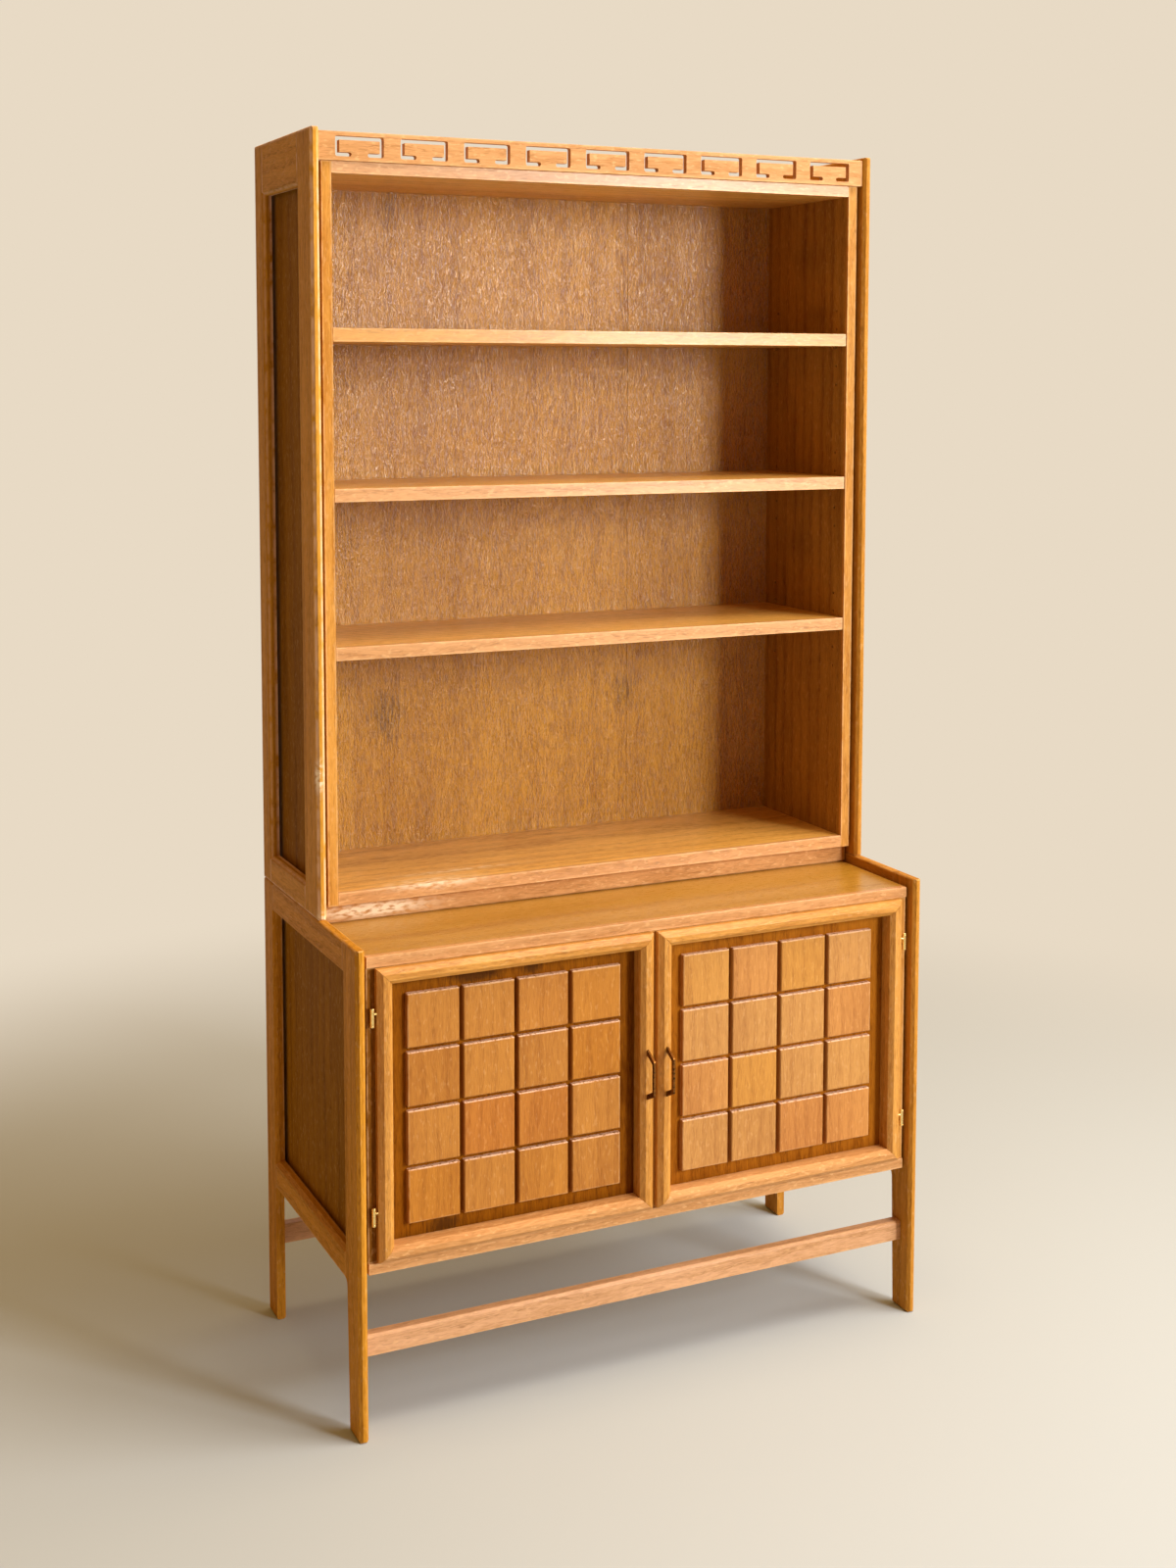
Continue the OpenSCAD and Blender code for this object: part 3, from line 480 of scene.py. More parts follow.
@dataclass(frozen=True)
class BrassFinish:
    """A brass surface.

    Attributes:
        bright: Colour where the metal is rubbed.
        dull: Colour of the tarnish.
        roughness: Roughness of the rubbed metal.
        tarnish: How much of the metal is tarnished.
        relief: Depth of the scratches.
    """

    bright: str
    dull: str
    roughness: float = 0.28
    tarnish: float = 0.5
    relief: float = 0.00003


@dataclass(frozen=True)
class PlasticFinish:
    """A moulded plastic surface with a fine spark texture.

    Attributes:
        base: Its colour.
        speck: Colour of the pale specks.
        roughness: Roughness of the smoothest places.
        relief: Depth of the texture.
    """

    base: str
    speck: str
    roughness: float = 0.45
    relief: float = 0.00005


LEG_OAK = OakFinish("D59633", "AE721C", "73440B", ring=0.016, bands=0.16, fleck=0.16,
                    relief=0.00018, gloss=0.03, coat=0.0, wear_and_highlight=0.4, grime_and_shade=0.12)
# The left frames' pale edges are wide and very pale: partly worn wood, partly a painted highlight
# on their chamfers.
FRAME_OAK = replace(LEG_OAK, light="DDA039", dark="B47A20", pore="78490D", wear_and_highlight=0.6, reach=0.0052,
                    wear_and_highlight_colour="F8D6C0")
FAR_FRAME_OAK = replace(LEG_OAK, light="C88B37", dark="A26A1E", pore="6C3F0D", wear_and_highlight=0.3)
# Paler and pinker than the frames: partly the wood's tone, partly a painted reflection of the light
# from above on the top face.
STRETCHER_OAK = OakFinish("D3A278", "B28254", "7D532D", ring=0.014, bands=0.2, fleck=0.2,
                          gloss=0.1, coat=0.3)
SIDE_OAK = OakFinish("A16C0A", "754903", "462702", ring=0.03, bands=0.16, fibres=0.7,
                     roughness=0.5, gloss=0.02, coat=0.0)
# A lighter copy of SIDE_OAK for the right sides: painted light on their inner faces, which lie in
# shade.
CHEEK_OAK = replace(SIDE_OAK, light="B18138", dark="845824", pore="4E3216", bands=0.2, gloss=0.1)
# A darker copy of the oak for the left face stile: painted shade, where the left door stands in
# front of it and blocks the light.
SHADED_STILE_OAK = OakFinish("8B5717", "673D0A", "3E2205", ring=0.016, bands=0.16, gloss=0.03, coat=0.0)
BOARD_OAK = OakFinish("E6B057", "BA8334", "794E1B", ring=0.02, bands=0.2, roughness=0.36,
                      coat=0.3)
LIP_OAK = OakFinish("D19A62", "B27B42", "805024", ring=0.014, bands=0.2, fleck=0.3, gloss=0.1,
                    coat=0.0)
TOP_OAK = OakFinish("B5872F", "A27120", "764C11", ring=0.03, bands=0.2, fibres=0.4, streaks=0.7,
                    fleck=0.05, roughness=0.3, coat=0.4, relief=0.00003, wear_and_highlight=0.3)
BACK_OAK = OakFinish("CD9436", "9B661F", "6A410E", ring=0.05, bands=0.1, fibres=2.2,
                     streaks=0.12, fleck=0.0, roughness=0.26, gloss=0.7, coat=0.0, relief=0.0002,
                     pores=0.35, wrinkles=0.0012)
DOOR_OAK = OakFinish("D09647", "AC7029", "724613", ring=0.016, bands=0.16, fleck=0.16,
                     roughness=0.4, gloss=0.08, coat=0.3)
# Its darker margins are dirt and painted shade, where the door frame shades the panel.
PANEL_OAK = OakFinish("92560B", "693404", "381A00", ring=0.02, bands=0.14, streaks=0.5,
                      roughness=0.46, relief=0.0003, fleck=0.0, gloss=0.03, coat=0.0, grime_and_shade=0.4)
PALE_PANEL_OAK = replace(PANEL_OAK, light="A66516", dark="763D06", pore="421F03", grime_and_shade=0.25)
TILE_OAK = OakFinish("BE823A", "965C26", "633913", ring=0.021, bands=0.12, fibres=0.8,
                     streaks=0.25, roughness=0.42, gloss=0.06, coat=0.12, pores=0.2,
                     relief=0.00025)
# A paler copy for the right door's tiles: painted light, as the light from the right falls more on
# the right door than on the left.
PALE_TILE_OAK = replace(TILE_OAK, light="C59151", dark="9D6837", pore="67411D")
HIDDEN_OAK = OakFinish("C49660", "9F7342", "67441F", roughness=0.65, coat=0.0)

HINGE_BRASS = BrassFinish("F2D48C", "A8823E", roughness=0.22, tarnish=0.35)
HANDLE_BRASS = BrassFinish("8A5A28", "2E1A0C", roughness=0.3, tarnish=0.95)
PIN_BRASS = BrassFinish("D8B468", "8C6C34", roughness=0.3, tarnish=0.5)
CATCH_PLASTIC = PlasticFinish("3C2C20", "6A5440")

# Distance that joins corners and least angle that is rounded
WELD = 0.00001
CREASE = math.radians(30)
# Colours of marks that look alike on every board
FLECK_COLOUR = "F2C68C"
KNOT_COLOUR = "381E0C"
WORN_COLOUR = "F0DAB8"
# Tints, rim and painted highlight on the top edge of the tiles
RED_TINT = "FFF0E6"
GOLD_TINT = "FFF6CC"
RIM_COLOUR = "6A3A14"
TOP_HIGHLIGHT_COLOUR = "F4D0B4"


@dataclass
class Finisher:
    """Makes a material for each board and fitting.

    Attributes:
        effects: The shared node groups.
        pith_off: Distance of the heart of the tree from the middle of a board.
        pith_turn: Radians that the heart turns round the board for each whole seed.
        board_step: Distance along the tree between boards whose seeds differ by 1.
        tone: Mean tone of the wood, from 0 for the light to 1 for the dark colour.
        clouds: Strength of the soft clouds in it.
        coat_roughness: Roughness of the clear lacquer.
        strip_shift, tile_shift, leaf_shift: How far along and across the tree a front strip, a
            tile or a leaf lies from the wood beside it.
        rim, chips, seam, knot, smudge: Strength of the tiles' dark rims and of the painted
            highlight on their top edges, of the seam behind a front strip, of knots, and of smudges
            and of the painted shadow under the plinth.
    """

    effects: Effects
    pith_off: float = 0.16
    pith_turn: float = 2.4
    board_step: float = 7.3
    tone: float = 0.42
    clouds: float = 0.8
    coat_roughness: float = 0.25
    strip_shift: Triple = (3.3, 0.03, 0.02)
    tile_shift: Triple = (9.0, 0.11, 0.11)
    leaf_shift: Triple = (3.7, 0.13, 0.09)
    rim: float = 0.18
    top_highlight: float = 0.75
    seam: float = 0.4
    knot: float = 0.75
    smudge_and_shadow: float = 1.2

    @staticmethod
    def start(name: str) -> tuple[bpy.types.Material, Graph, bpy.types.Node]:
        """Makes an empty material.

        Args:
            name: Its name.

        Returns:
            The material, its graph and its Principled BSDF.
        """
        material = bpy.data.materials.new(name)
        material.use_nodes = True
        material.node_tree.nodes.clear()
        graph = Graph(material.node_tree)
        shader = graph.add("BsdfPrincipled")
        graph.add("OutputMaterial", shader.outputs["BSDF"])
        return material, graph, shader

    def spots(self, g: Graph, position: Socket, spots: Sequence[Spot]) -> Source:
        """Adds up soft spots.

        Args:
            g: The material's graph.
            position: The place on the object.
            spots: The spots.

        Returns:
            The summed mask, or 0 where there are none.
        """
        total: Source = 0.0
        for spot in spots:
            sizes = {"Position": position, "Centre": spot.centre, "Size": spot.size}
            one = g.group(self.effects.spot, sizes)
            total = g.math("MULTIPLY_ADD", one.outputs["Mask"], spot.strength, total)
        return total

    def grain(self, g: Graph, place: Source, finish: OakFinish, seed: float,
              knots: Source) -> bpy.types.Node:
        """Places the oak grain with the pith somewhere beside the board.

        Args:
            g: The material's graph.
            place: The place in the board with X along the grain.
            finish: The finish.
            seed: Chooses the place of the pith.
            knots: The mask of the knots.

        Returns:
            The group node.
        """
        turn = seed * self.pith_turn
        pith = (0.0, self.pith_off * math.cos(turn), self.pith_off * math.sin(turn))
        return g.group(self.effects.oak,
                       {"Board": place, "Pith": pith, "Ring width": finish.ring, "Knots": knots})

    def oak_colour(self, g: Graph, finish: OakFinish, grain: bpy.types.Node) -> Socket:
        """Colours the grain of one finish.

        Args:
            g: The material's graph.
            finish: The finish.
            grain: The placed oak group.

        Returns:
            The colour.
        """
        tone: Source = self.tone
        for name, weight, middle in (("Band", finish.bands, 0.4), ("Fibre", finish.fibres, 0.5),
                                     ("Streak", finish.streaks, 0.5), ("Cloud", self.clouds, 0.5)):
            part = g.math("SUBTRACT", grain.outputs[name], middle)
            tone = g.math("MULTIPLY_ADD", part, weight, tone)
        wood = g.mix(g.step(tone, 0.0, 1.0), finish.light, finish.dark)
        wood = g.mix(g.math("MULTIPLY", grain.outputs["Pores"], finish.pores), wood, finish.pore)
        return g.mix(g.math("MULTIPLY", grain.outputs["Fleck"], finish.fleck), wood, FLECK_COLOUR)

    def tile_tints(self, g: Graph, colour: Socket, cells: bpy.types.Node,
                   position: Socket) -> Socket:
        """Gives each tile its own tint, a dark rim and a painted highlight along its top edge.

        Args:
            g: The material's graph.
            colour: The colour of the wood.
            cells: The placed group of tile cells.
            position: The place on the object.

        Returns:
            The colour.
        """
        for code, start, end in ((RED_TINT, 0.35, 0.0), (GOLD_TINT, 0.6, 1.0)):
            tinted = g.mix(1.0, colour, code, "MULTIPLY")
            colour = g.mix(g.step(cells.outputs["Chance"], start, end), colour, tinted)
        colour = g.mix(g.math("MULTIPLY", cells.outputs["Rim"], self.rim), colour, RIM_COLOUR)
        # Painted highlight along each tile's top edge, where light from above catches it, broken
        # into dashes by noise.
        broken_line = g.step(g.noise(position, scale=210.0, detail=3.0), 0.3, 0.55)
        top = g.math("MULTIPLY", cells.outputs["Top"], broken_line)
        return g.mix(g.math("MULTIPLY", top, self.top_highlight), colour, TOP_HIGHLIGHT_COLOUR)

    def front_strip(self, g: Graph, colour: Socket, board: Board, place: Socket,
                    depth: Socket) -> Socket:
        """Lays the solid strip along the front edge, with a fine seam behind it.

        Args:
            g: The material's graph.
            colour: The colour of the wood.
            board: How the board is cut.
            place: The place in the board with X along the grain.
            depth: The distance behind the front edge.

        Returns:
            The colour.
        """
        strip = g.vector("ADD", place, self.strip_shift)
        grain = self.grain(g, strip, board.lip_finish, board.seed + 1.0, 0.0)
        lip = self.oak_colour(g, board.lip_finish, grain)
        colour = g.mix(g.step(depth, board.lipping, board.lipping + 0.0004), lip, colour)
        off = g.math("ABSOLUTE", g.math("SUBTRACT", depth, board.lipping))
        seam = g.flip(g.step(off, 0.0002, 0.0009))
        return g.mix(g.math("MULTIPLY", seam, self.seam), colour, board.finish.pore)

    def age(self, g: Graph, colour: Socket, board: Board, box: tuple[Vector, Vector],
            position: Socket, grain: bpy.types.Node, knots: Source) -> Socket:
        """Draws knots, smudges, a painted shadow, dirt and painted shade, worn pale edges with
        painted highlight, and patches worn pale.

        Args:
            g: The material's graph.
            colour: The colour of the wood.
            board: How the board is cut.
            box: The board's lower and upper corner.
            position: The place on the object.
            grain: The placed oak group.
            knots: The mask of the knots.

        Returns:
            The colour.
        """
        finish = board.finish
        if board.knots:
            fibre = g.math("SUBTRACT", grain.outputs["Fibre"], 0.5)
            rough = g.step(g.math("MULTIPLY_ADD", fibre, 1.6, knots), 0.1, 1.2)
            colour = g.mix(g.math("MULTIPLY", rough, self.knot), colour, KNOT_COLOUR)
        # Dark patches: real smudges, and the painted shadow along the plinth's lower edge.
        if board.dark:
            spots = self.spots(g, position, board.dark)
            smudge_and_shadow = g.math("MULTIPLY", spots, grain.outputs["Cloud"])
            colour = g.mix(g.math("MULTIPLY", smudge_and_shadow, self.smudge_and_shadow), colour, finish.pore)
        given = {"Position": position, "Low": tuple(box[0]), "High": tuple(box[1]),
                 "Reach": finish.reach}
        edge_marks = g.group(self.effects.edges, given)
        # Darker near the ends and edges: dirt and painted shade.
        if finish.grime_and_shade:
            grime_and_shade = g.math("MULTIPLY", edge_marks.outputs["Grime and shade"], finish.grime_and_shade)
            colour = g.mix(grime_and_shade, colour, finish.pore)
        # Pale edge strips: worn wood, and on the left frames a painted highlight on the chamfers.
        rub_and_highlight = g.math("MULTIPLY", edge_marks.outputs["Mask"], finish.wear_and_highlight)
        colour = g.mix(rub_and_highlight, colour, finish.wear_and_highlight_colour)
        if board.worn:
            patch = self.spots(g, position, board.worn)
            stretched = g.vector("MULTIPLY", position, (60.0, 160.0, 160.0))
            ragged = g.step(g.noise(stretched, detail=4.0), 0.35, 0.6)
            colour = g.mix(g.math("MULTIPLY", patch, ragged), colour, WORN_COLOUR)
        return colour

    def oak(self, name: str, board: Board) -> bpy.types.Material:
        """Makes the material of one board.

        Args:
            name: The node that it is for.
            board: How the board is cut.

        Returns:
            The material.
        """
        material, g, shader = self.start(name)
        finish = board.finish
        low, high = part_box(name)
        position = g.add("TexCoord").outputs["Object"]
        axes = g.split(position)
        middle = [(low[i] + high[i]) / 2 for i in range(3)]
        centred = [g.math("SUBTRACT", axes[i], middle[i]) for i in board.grain.value]
        along = board.seed * self.board_step
        place = g.vector("ADD", g.join(*centred), (along, 0.0, 0.0))
        cells: Optional[bpy.types.Node] = None
        if board.tiles:
            step, width = board.tiles
            given = {"Position": position, "Start": tuple(low), "Step": step, "Width": width}
            cells = g.group(self.effects.tiles, given)
            apart = g.vector("MULTIPLY", cells.outputs["Cell"], self.tile_shift)
            place = g.vector("ADD", place, apart)
        leaf: Source = 0.0
        if board.leaf:
            leaf = g.math("FLOOR", g.math("DIVIDE", axes[0], board.leaf))
            apart = g.vector("MULTIPLY", g.join(leaf, leaf, leaf), self.leaf_shift)
            place = g.vector("ADD", place, apart)
        knots = self.spots(g, position, board.knots)
        grain = self.grain(g, place, finish, board.seed, knots)
        colour = self.oak_colour(g, finish, grain)
        if board.leaf:
            deeper = g.math("FRACT", g.math("MULTIPLY", leaf, 0.618))
            colour = g.mix(g.math("MULTIPLY", deeper, 0.3), colour, finish.dark)
        if cells:
            colour = self.tile_tints(g, colour, cells, position)
        if board.lipping and board.lip_finish:
            depth = g.math("SUBTRACT", axes[1], low.y)
            colour = self.front_strip(g, colour, board, place, depth)
        colour = self.age(g, colour, board, (low, high), position, grain, knots)
        gloss: Source = finish.gloss
        normal: Optional[Socket] = None
        if finish.wrinkles:
            folds = g.group(self.effects.wrinkle, {"Board": place}).outputs
            # Painted shade in the hollows of the wrinkles, in the pore colour.
            colour = g.mix(g.math("MULTIPLY", folds["Hollow"], 0.5), colour, finish.pore)
            crest = g.step(folds["Height"], 0.4, 0.66)
            gloss = g.math("MULTIPLY_ADD", crest, 1.7 * finish.gloss, 0.15 * finish.gloss)
            normal = g.bump(folds["Height"], finish.wrinkles)
        fibre = g.math("SUBTRACT", grain.outputs["Fibre"], 0.5)
        sheen = g.math("MULTIPLY_ADD", fibre, 0.3, finish.roughness)
        rough = g.math("MULTIPLY_ADD", grain.outputs["Pores"], 0.12, sheen)
        normal = g.bump(grain.outputs["Height"], finish.relief, normal)
        g.fill(shader, {"Base Color": colour, "Roughness": rough, "Specular IOR Level": gloss,
                        "Coat Weight": finish.coat, "Coat Roughness": self.coat_roughness,
                        "Normal": normal})
        return material

    def brass(self, name: str, finish: BrassFinish) -> bpy.types.Material:
        """Makes a brass material.

        Args:
            name: Its name.
            finish: The finish.

        Returns:
            The material.
        """
        material, g, shader = self.start(name)
        position = g.add("TexCoord").outputs["Object"]
        stains = g.group(self.effects.tarnish, {"Position": position})
        amount = g.math("MULTIPLY", stains.outputs["Mask"], finish.tarnish)
        colour = g.mix(amount, finish.bright, finish.dull)
        rough = g.math("MULTIPLY_ADD", amount, 0.3, finish.roughness)
        normal = g.bump(stains.outputs["Height"], finish.relief)
        g.fill(shader, {"Base Color": colour, "Roughness": rough, "Metallic": 1.0,
                        "Normal": normal})
        return material

    def plastic(self, name: str, finish: PlasticFinish) -> bpy.types.Material:
        """Makes a moulded plastic material.

        Args:
            name: Its name.
            finish: The finish.

        Returns:
            The material.
        """
        material, g, shader = self.start(name)
        speck = g.noise(g.add("TexCoord").outputs["Object"], scale=1400.0)
        colour = g.mix(g.step(speck, 0.3, 0.7), finish.base, finish.speck)
        rough = g.math("MULTIPLY_ADD", speck, 0.2, finish.roughness)
        normal = g.bump(speck, finish.relief)
        g.fill(shader, {"Base Color": colour, "Roughness": rough, "Normal": normal})
        return material


def dress(node: str, material: bpy.types.Material, edge: float = 0.0) -> None:
    """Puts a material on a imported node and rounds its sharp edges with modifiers.

    Args:
        node: The node's name.
        material: The material.
        edge: Width of the rounding, 0 for none.
    """
    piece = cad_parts[node]
    piece.data.materials.clear()
    piece.data.materials.append(material)
    if edge:
        weld = piece.modifiers.new("weld", "WELD")
        weld.merge_threshold = WELD
        bevel = piece.modifiers.new("soft edges", "BEVEL")
        bevel.width = edge
        bevel.segments = 2
        bevel.limit_method = "ANGLE"
        bevel.angle_limit = CREASE
        bevel.harden_normals = True
    log.info("%s dressed", node)


@dataclass
class SideFrames:
    """The open frames on both sides of the two units.

    Attributes:
        finisher: Makes the materials.
        edge: Rounding of the arrises that the model leaves sharp.
        first_seed: Seed of the first member.
        seed_step: Difference between the seeds of two members.
    """

    finisher: Finisher
    edge: float = 0.0008
    first_seed: float = 1.0
    seed_step: float = 1.31

    def build(self) -> None:
        """Dresses legs, stiles, rails and stretchers."""
        seed = self.first_seed
        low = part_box("upper_left_front_stile")[0]
        scuffs = (Spot((low.x + 0.003, low.y, 0.985), (0.009, 0.010, 0.020), 1.4),
                  Spot((low.x + 0.006, low.y, low.z), (0.012, 0.010, 0.012), 1.0))
        up, deep = Grain.UPRIGHT, Grain.FRONT_TO_BACK
        for side in ("left", "right"):
            for unit, post, near in (("base", "leg", LEG_OAK), ("upper", "stile", FRAME_OAK)):
                finish = near if side == "left" else FAR_FRAME_OAK
                for part, grain in ((f"front_{post}", up), (f"back_{post}", up),
                                    ("top_rail", deep), ("bottom_rail", deep)):
                    name = f"{unit}_{side}_{part}"
                    seed += self.seed_step
                    worn = scuffs if name == "upper_left_front_stile" else ()
                    board = Board(finish, grain, seed, worn=worn)
                    dress(name, self.finisher.oak(name, board), self.edge)
        for name in ("front_stretcher", "back_stretcher"):
            seed += self.seed_step
            board = Board(STRETCHER_OAK, Grain.SIDEWAYS, seed)
            dress(name, self.finisher.oak(name, board), self.edge)
        board = Board(HIDDEN_OAK, deep, seed)
        dress("frame_spacers", self.finisher.oak("frame_spacers", board))


@dataclass
class UpperUnit:
    """The open case with its shelves, frieze and plinth.

    Attributes:
        finisher: Makes the materials.
        lipping: Width of the solid strips along the front edges.
        edge: Rounding of the sharp arrises.
    """

    finisher: Finisher
    lipping: float = 0.008
    edge: float = 0.0007

    def build(self) -> None:
        """Dresses the case, the shelves, the frieze and the plinth."""
        up, side = Grain.UPRIGHT, Grain.SIDEWAYS
        lip = self.lipping
        back_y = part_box("upper_back_panel")[0].y
        knots = (Spot((-0.287, back_y, 1.021), (0.036, 0.05, 0.05), 0.75),
                 Spot((0.165, back_y, 1.034), (0.028, 0.05, 0.038), 0.6),
                 Spot((-0.278, back_y, 1.880), (0.02, 0.05, 0.05), 0.6))
        plinth_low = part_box("upper_plinth")[0]
        # A painted shadow line along the plinth's lower edge, where it meets the base top.
        shadow = (Spot((0.15, plinth_low.y, plinth_low.z), (0.42, 0.02, 0.0022), 2.0),)
        worn = (Spot((-0.40, plinth_low.y, plinth_low.z + 0.016), (0.08, 0.02, 0.011), 1.4),)
        floor_low, floor_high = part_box("upper_bottom_board")
        edge_marks = (Spot((-0.30, floor_low.y, floor_high.z), (0.07, 0.03, 0.008), 1.0),
                  Spot((-0.24, floor_low.y + 0.06, floor_high.z), (0.10, 0.008, 0.008), 0.7))
        cheek_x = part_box("upper_right_side")[0].x
        smudges = (Spot((cheek_x, 0.10, 1.81), (0.02, 0.05, 0.028), 0.5),
                   Spot((cheek_x, 0.06, 1.71), (0.02, 0.04, 0.020), 0.5),
                   Spot((cheek_x, 0.12, 1.30), (0.02, 0.06, 0.030), 0.4))
        plan = {
            "upper_left_side": Board(SIDE_OAK, up, 21.3, lip, DOOR_OAK),
            # The right side takes the lighter copy: painted light on its shaded inner face.
            "upper_right_side": Board(CHEEK_OAK, up, 22.9, lip, DOOR_OAK, dark=smudges),
            "upper_top_board": Board(BOARD_OAK, side, 24.1, lip, LIP_OAK),
            "upper_bottom_board": Board(BOARD_OAK, side, 25.7, lip, LIP_OAK, worn=edge_marks),
            "upper_back_panel": Board(BACK_OAK, up, 27.2, knots=knots, leaf=0.173),
            "upper_plinth": Board(LIP_OAK, side, 28.6, worn=worn, dark=shadow),
            "frieze": Board(LIP_OAK, side, 29.9),
            "shelf_1": Board(BOARD_OAK, side, 32.7, lip, LIP_OAK),
            "shelf_2": Board(BOARD_OAK, side, 34.4, lip, LIP_OAK),
            "shelf_3": Board(BOARD_OAK, side, 36.1, lip, DOOR_OAK),
        }
        for name, board in plan.items():
            edge = self.edge if name != "frieze" else self.edge / 2
            dress(name, self.finisher.oak(name, board), edge)
        dress("shelf_pins", self.finisher.brass("shelf pins", PIN_BRASS))


@dataclass
class BaseUnit:
    """The case behind the doors.

    Attributes:
        finisher: Makes the materials.
        lipping: Width of the solid strips along the front of the top and the bottom board.
        shelf_lipping: Width of the strips along the shelves.
        edge: Rounding of the sharp arrises.
    """

    finisher: Finisher
    lipping: float = 0.012
    shelf_lipping: float = 0.008
    edge: float = 0.0007

    def build(self) -> None:
        """Dresses the case boards, the face frame, the hinges and the catches."""
        up, side = Grain.UPRIGHT, Grain.SIDEWAYS
        plan = {
            "base_left_side": Board(SIDE_OAK, up, 41.3),
            # The right side takes the lighter copy: painted light on its shaded inner face.
            "base_right_side": Board(CHEEK_OAK, up, 42.8),
            # Painted shade: the left face stile takes the darker copy.
            "base_left_face_stile": Board(SHADED_STILE_OAK, up, 44.4),
            "base_right_face_stile": Board(DOOR_OAK, up, 45.9),
            "base_centre_post": Board(DOOR_OAK, up, 47.7),
            "base_face_rails": Board(DOOR_OAK, side, 49.1),
            "base_top_board": Board(TOP_OAK, side, 50.6, self.lipping, LIP_OAK),
            "base_bottom_board": Board(BOARD_OAK, side, 52.2, self.lipping, LIP_OAK),
            "base_partition": Board(SIDE_OAK, up, 53.8),
            "base_back_panel": Board(BACK_OAK, up, 55.1),
            "base_shelves": Board(BOARD_OAK, side, 56.9, self.shelf_lipping, LIP_OAK),
        }
        for name, board in plan.items():
            dress(name, self.finisher.oak(name, board), self.edge)
        dress("case_hinges", self.finisher.brass("case hinges", HINGE_BRASS))
        dress("door_catches", self.finisher.plastic("door catches", CATCH_PLASTIC))


@dataclass
class Door:
    """One door with its tiles, handle and hinge halves.

    Attributes:
        finisher: Makes the materials.
        side: "left" or "right".
        seed: Chooses the wood.
        knots: Knots in the recessed panel.
        panel: Finish of the recessed panel.
        tile: Finish of the tiles.
        tile_step: Width of a tile and one gap.
        tile_width: Width of a tile.
        edge: Rounding of the sharp arrises.
    """

    finisher: Finisher
    side: str
    seed: float
    knots: tuple[Spot, ...] = ()
    panel: OakFinish = PANEL_OAK
    tile: OakFinish = TILE_OAK
    tile_step: float = 0.091
    tile_width: float = 0.084
    edge: float = 0.0008

    def build(self) -> None:
        """Dresses the door's frame, panel, tiles and metal."""
        up, side, seed = Grain.UPRIGHT, Grain.SIDEWAYS, self.seed
        plan = {
            "hinge_stile": Board(DOOR_OAK, up, seed),
            "meeting_stile": Board(DOOR_OAK, up, seed + 1.3),
            "top_rail": Board(DOOR_OAK, side, seed + 2.9),
            # The bottom rail takes the paler strip oak: a painted reflection on its face.
            "bottom_rail": Board(LIP_OAK, side, seed + 4.2),
            "panel": Board(self.panel, up, seed + 5.8, knots=self.knots),
            "tiles": Board(self.tile, up, seed + 7.1, tiles=(self.tile_step, self.tile_width)),
        }
        for part, board in plan.items():
            name = f"{self.side}_door_{part}"
            dress(name, self.finisher.oak(name, board), self.edge)
        handle = self.finisher.brass(f"{self.side} handle", HANDLE_BRASS)
        dress(f"{self.side}_door_handle", handle)
        hinges = self.finisher.brass(f"{self.side} door hinges", HINGE_BRASS)
        dress(f"{self.side}_door_hardware", hinges)


@dataclass(frozen=True)
class Lamp:
    """A soft rectangular lamp that faces the middle of the cabinet.

    Attributes:
        name: Its name.
        turn: Degrees to the right of the front, seen from above.
        rise: Degrees above the level of the cabinet's middle.
        reach: Distance from the cabinet's middle.
        size: Its width and height.
        power: Its power in watts.
        colour: Its colour.
        middle: The cabinet's middle.
    """

    name: str
    turn: float
    rise: float
    reach: float
    size: tuple[float, float]
    power: float
    colour: str = "FFFFFF"
    middle: Triple = (0.0, 0.0, 1.0)

    def hang(self) -> None:
        """Makes the lamp, stands it in its place and aims it."""
        data = bpy.data.lights.new(self.name, "AREA")
        data.shape = "RECTANGLE"
        data.size, data.size_y = self.size
        data.energy = self.power
        data.color = linear(self.colour)[:3]
        a, e = math.radians(self.turn), math.radians(self.rise)
        way = Vector((math.cos(e) * math.sin(a), -math.cos(e) * math.cos(a), math.sin(e)))
        lamp = bpy.data.objects.new(self.name, data)
        lamp.location = Vector(self.middle) + way * self.reach
        lamp.rotation_euler = (-way).to_track_quat("-Z", "Y").to_euler()
        bpy.context.scene.collection.objects.link(lamp)


LAMPS = (
    Lamp("window", turn=58.0, rise=17.0, reach=8.0, size=(5.0, 3.2), power=390.0),
    Lamp("near window", turn=29.0, rise=13.0, reach=5.0, size=(0.9, 1.8), power=185.0),
    Lamp("high window", turn=48.0, rise=54.0, reach=4.0, size=(1.4, 1.4), power=50.0,
         colour="FFF4F0"),
    Lamp("ceiling", turn=60.0, rise=77.0, reach=4.5, size=(3.0, 3.5), power=190.0,
         colour="FFE6BE"),
)


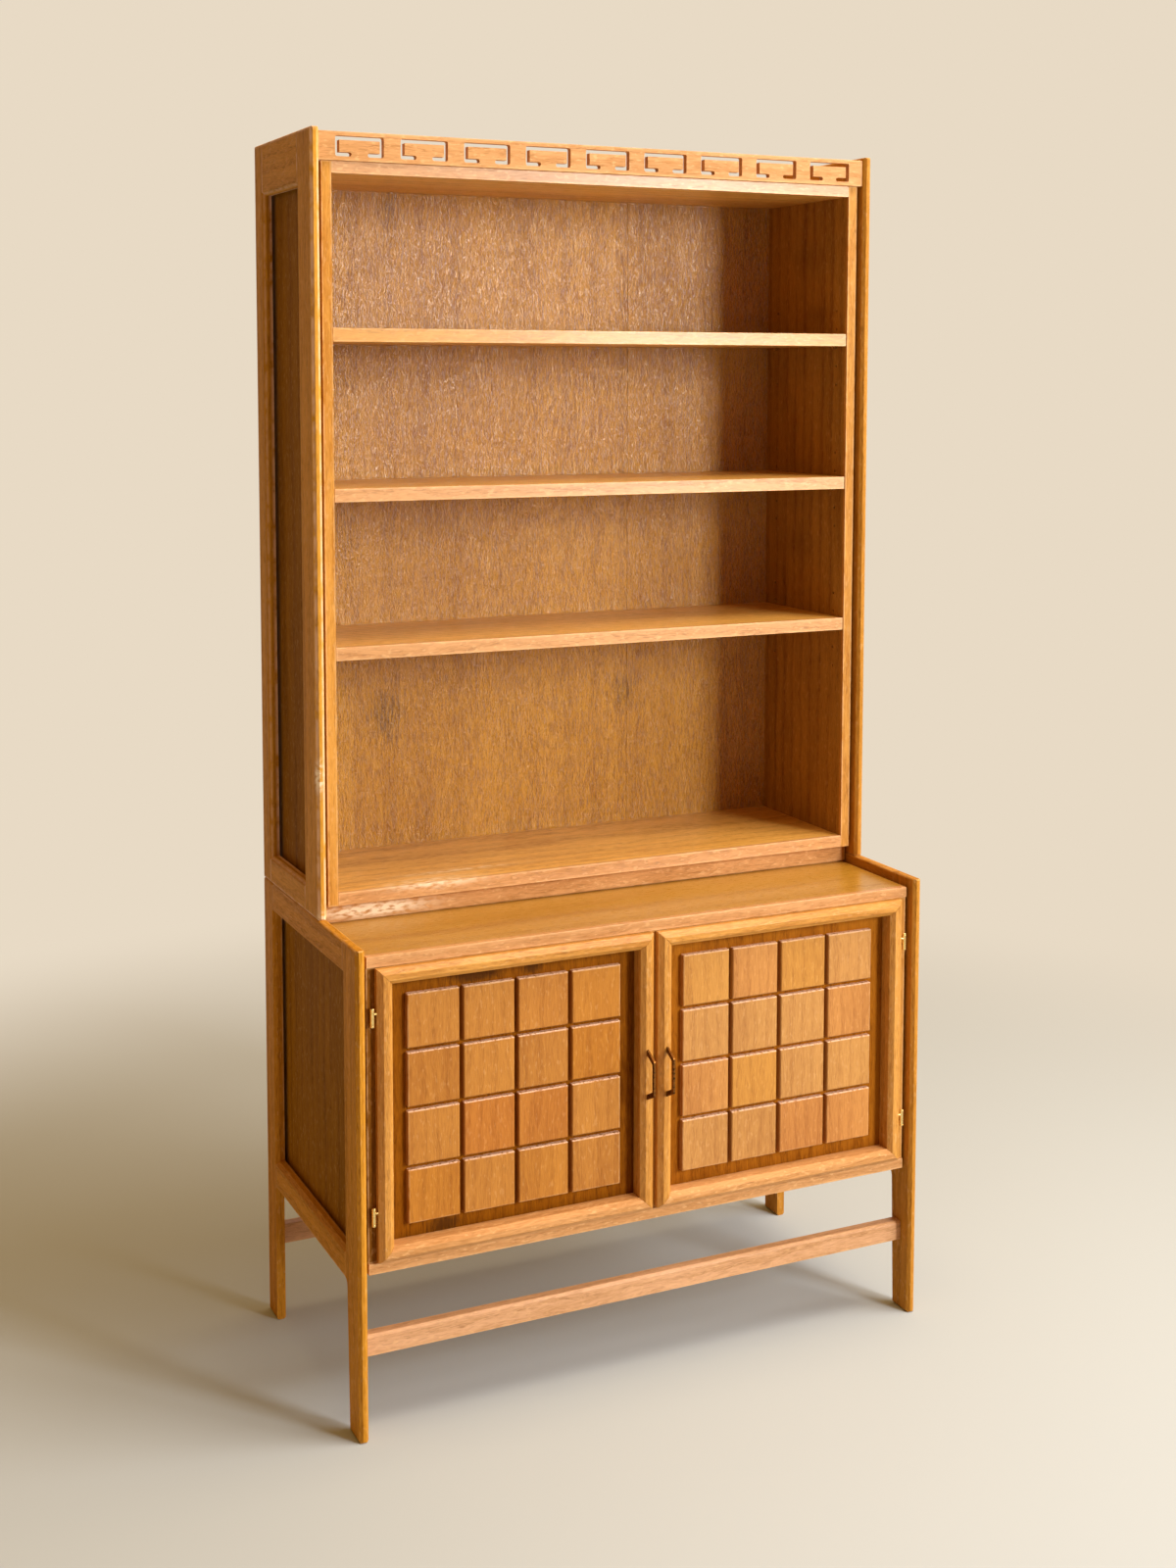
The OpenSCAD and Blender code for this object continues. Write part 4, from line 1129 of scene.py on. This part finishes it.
@dataclass
class Studio:
    """The floor, the lamps and the camera.

    Attributes:
        lens: Focal length in millimetres on a 36 mm frame.
        shift: Vertical shift of the lens.
        place: Where the camera stands.
        yaw: Its turn to the right of +Y in degrees.
        pitch: Its tilt downward in degrees.
        roll: Its roll in degrees.
        paper: Colour of the background.
        ground: Colour of the floor.
        glow: Colour of the light from all round.
        fill: Strength of the light from all round.
        radius: Radius of the floor.
        fade: Distances from the cabinet between which the floor fades into the background.
    """

    lens: float = 45.165
    shift: float = -0.15
    place: Triple = (-1.3993, -2.9331, 1.6000)
    yaw: float = 25.278
    pitch: float = 4.990
    roll: float = -0.069
    paper: str = "E8DAC5"
    ground: str = "BAC3C8"
    glow: str = "FFB954"
    fill: float = 0.33
    radius: float = 30.0
    fade: tuple[float, float] = (1.35, 2.7)

    def floor(self) -> None:
        """Lays a wide round floor that fades into the background around the cabinet."""
        material = bpy.data.materials.new("studio paper")
        material.use_nodes = True
        material.node_tree.nodes.clear()
        g = Graph(material.node_tree)
        away = g.vector("LENGTH", g.add("TexCoord").outputs["Object"])
        ground = g.add("BsdfDiffuse", self.ground).outputs[0]
        paper = g.add("Emission", self.paper).outputs[0]
        rays = g.add("LightPath").outputs
        seen = g.math("MAXIMUM", rays["Is Camera Ray"], rays["Is Glossy Ray"])
        faded = g.math("MULTIPLY", g.step(away, *self.fade), seen)
        g.add("OutputMaterial", g.add("MixShader", faded, ground, paper).outputs[0])
        mesh = bpy.data.meshes.new("studio_floor")
        form = bmesh.new()
        bmesh.ops.create_circle(form, cap_ends=True, radius=self.radius, segments=96)
        form.to_mesh(mesh)
        form.free()
        floor = bpy.data.objects.new("studio_floor", mesh)
        bpy.context.scene.collection.objects.link(floor)
        mesh.materials.append(material)

    def world(self) -> None:
        """Sets the soft light from all round and the plain background."""
        world = bpy.data.worlds.new("studio world")
        bpy.context.scene.world = world
        world.use_nodes = True
        world.node_tree.nodes.clear()
        g = Graph(world.node_tree)
        fill = g.add("Background", self.glow, self.fill).outputs[0]
        paper = g.add("Background", self.paper).outputs[0]
        rays = g.add("LightPath").outputs
        seen = g.math("MAXIMUM", rays["Is Camera Ray"], rays["Is Glossy Ray"])
        seen = g.math("MAXIMUM", seen, rays["Is Transmission Ray"])
        g.add("OutputWorld", g.add("MixShader", seen, fill, paper).outputs[0])

    def camera(self) -> None:
        """Stands the camera where the photograph was taken from."""
        data = bpy.data.cameras.new("camera")
        data.lens = self.lens
        data.shift_y = self.shift
        camera = bpy.data.objects.new("camera", data)
        turn = (Matrix.Rotation(math.radians(-self.yaw), 4, "Z")
                @ Matrix.Rotation(math.radians(90 - self.pitch), 4, "X")
                @ Matrix.Rotation(math.radians(-self.roll), 4, "Z"))
        camera.matrix_world = Matrix.Translation(self.place) @ turn
        bpy.context.scene.collection.objects.link(camera)
        bpy.context.scene.camera = camera

    def build(self) -> None:
        """Lays the floor, sets the light and stands the camera."""
        self.floor()
        self.world()
        for lamp in LAMPS:
            lamp.hang()
        self.camera()
        bpy.context.scene.view_settings.view_transform = "Standard"
        log.info("studio built")


def main() -> None:
    finisher = Finisher(Effects())
    SideFrames(finisher).build()
    UpperUnit(finisher).build()
    BaseUnit(finisher).build()
    panel_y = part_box("left_door_panel")[0].y
    stains = (Spot((-0.300, panel_y, 0.692), (0.042, 0.05, 0.014), 1.6),
              Spot((-0.205, panel_y, 0.690), (0.018, 0.05, 0.012), 1.2),
              Spot((-0.352, panel_y, 0.305), (0.026, 0.05, 0.014), 1.4))
    Door(finisher, "left", 61.0, stains).build()
    # The right door's tiles take the paler copy: painted light.
    Door(finisher, "right", 83.0, panel=PALE_PANEL_OAK, tile=PALE_TILE_OAK).build()
    Studio().build()


if __name__ == "__main__":
    main()
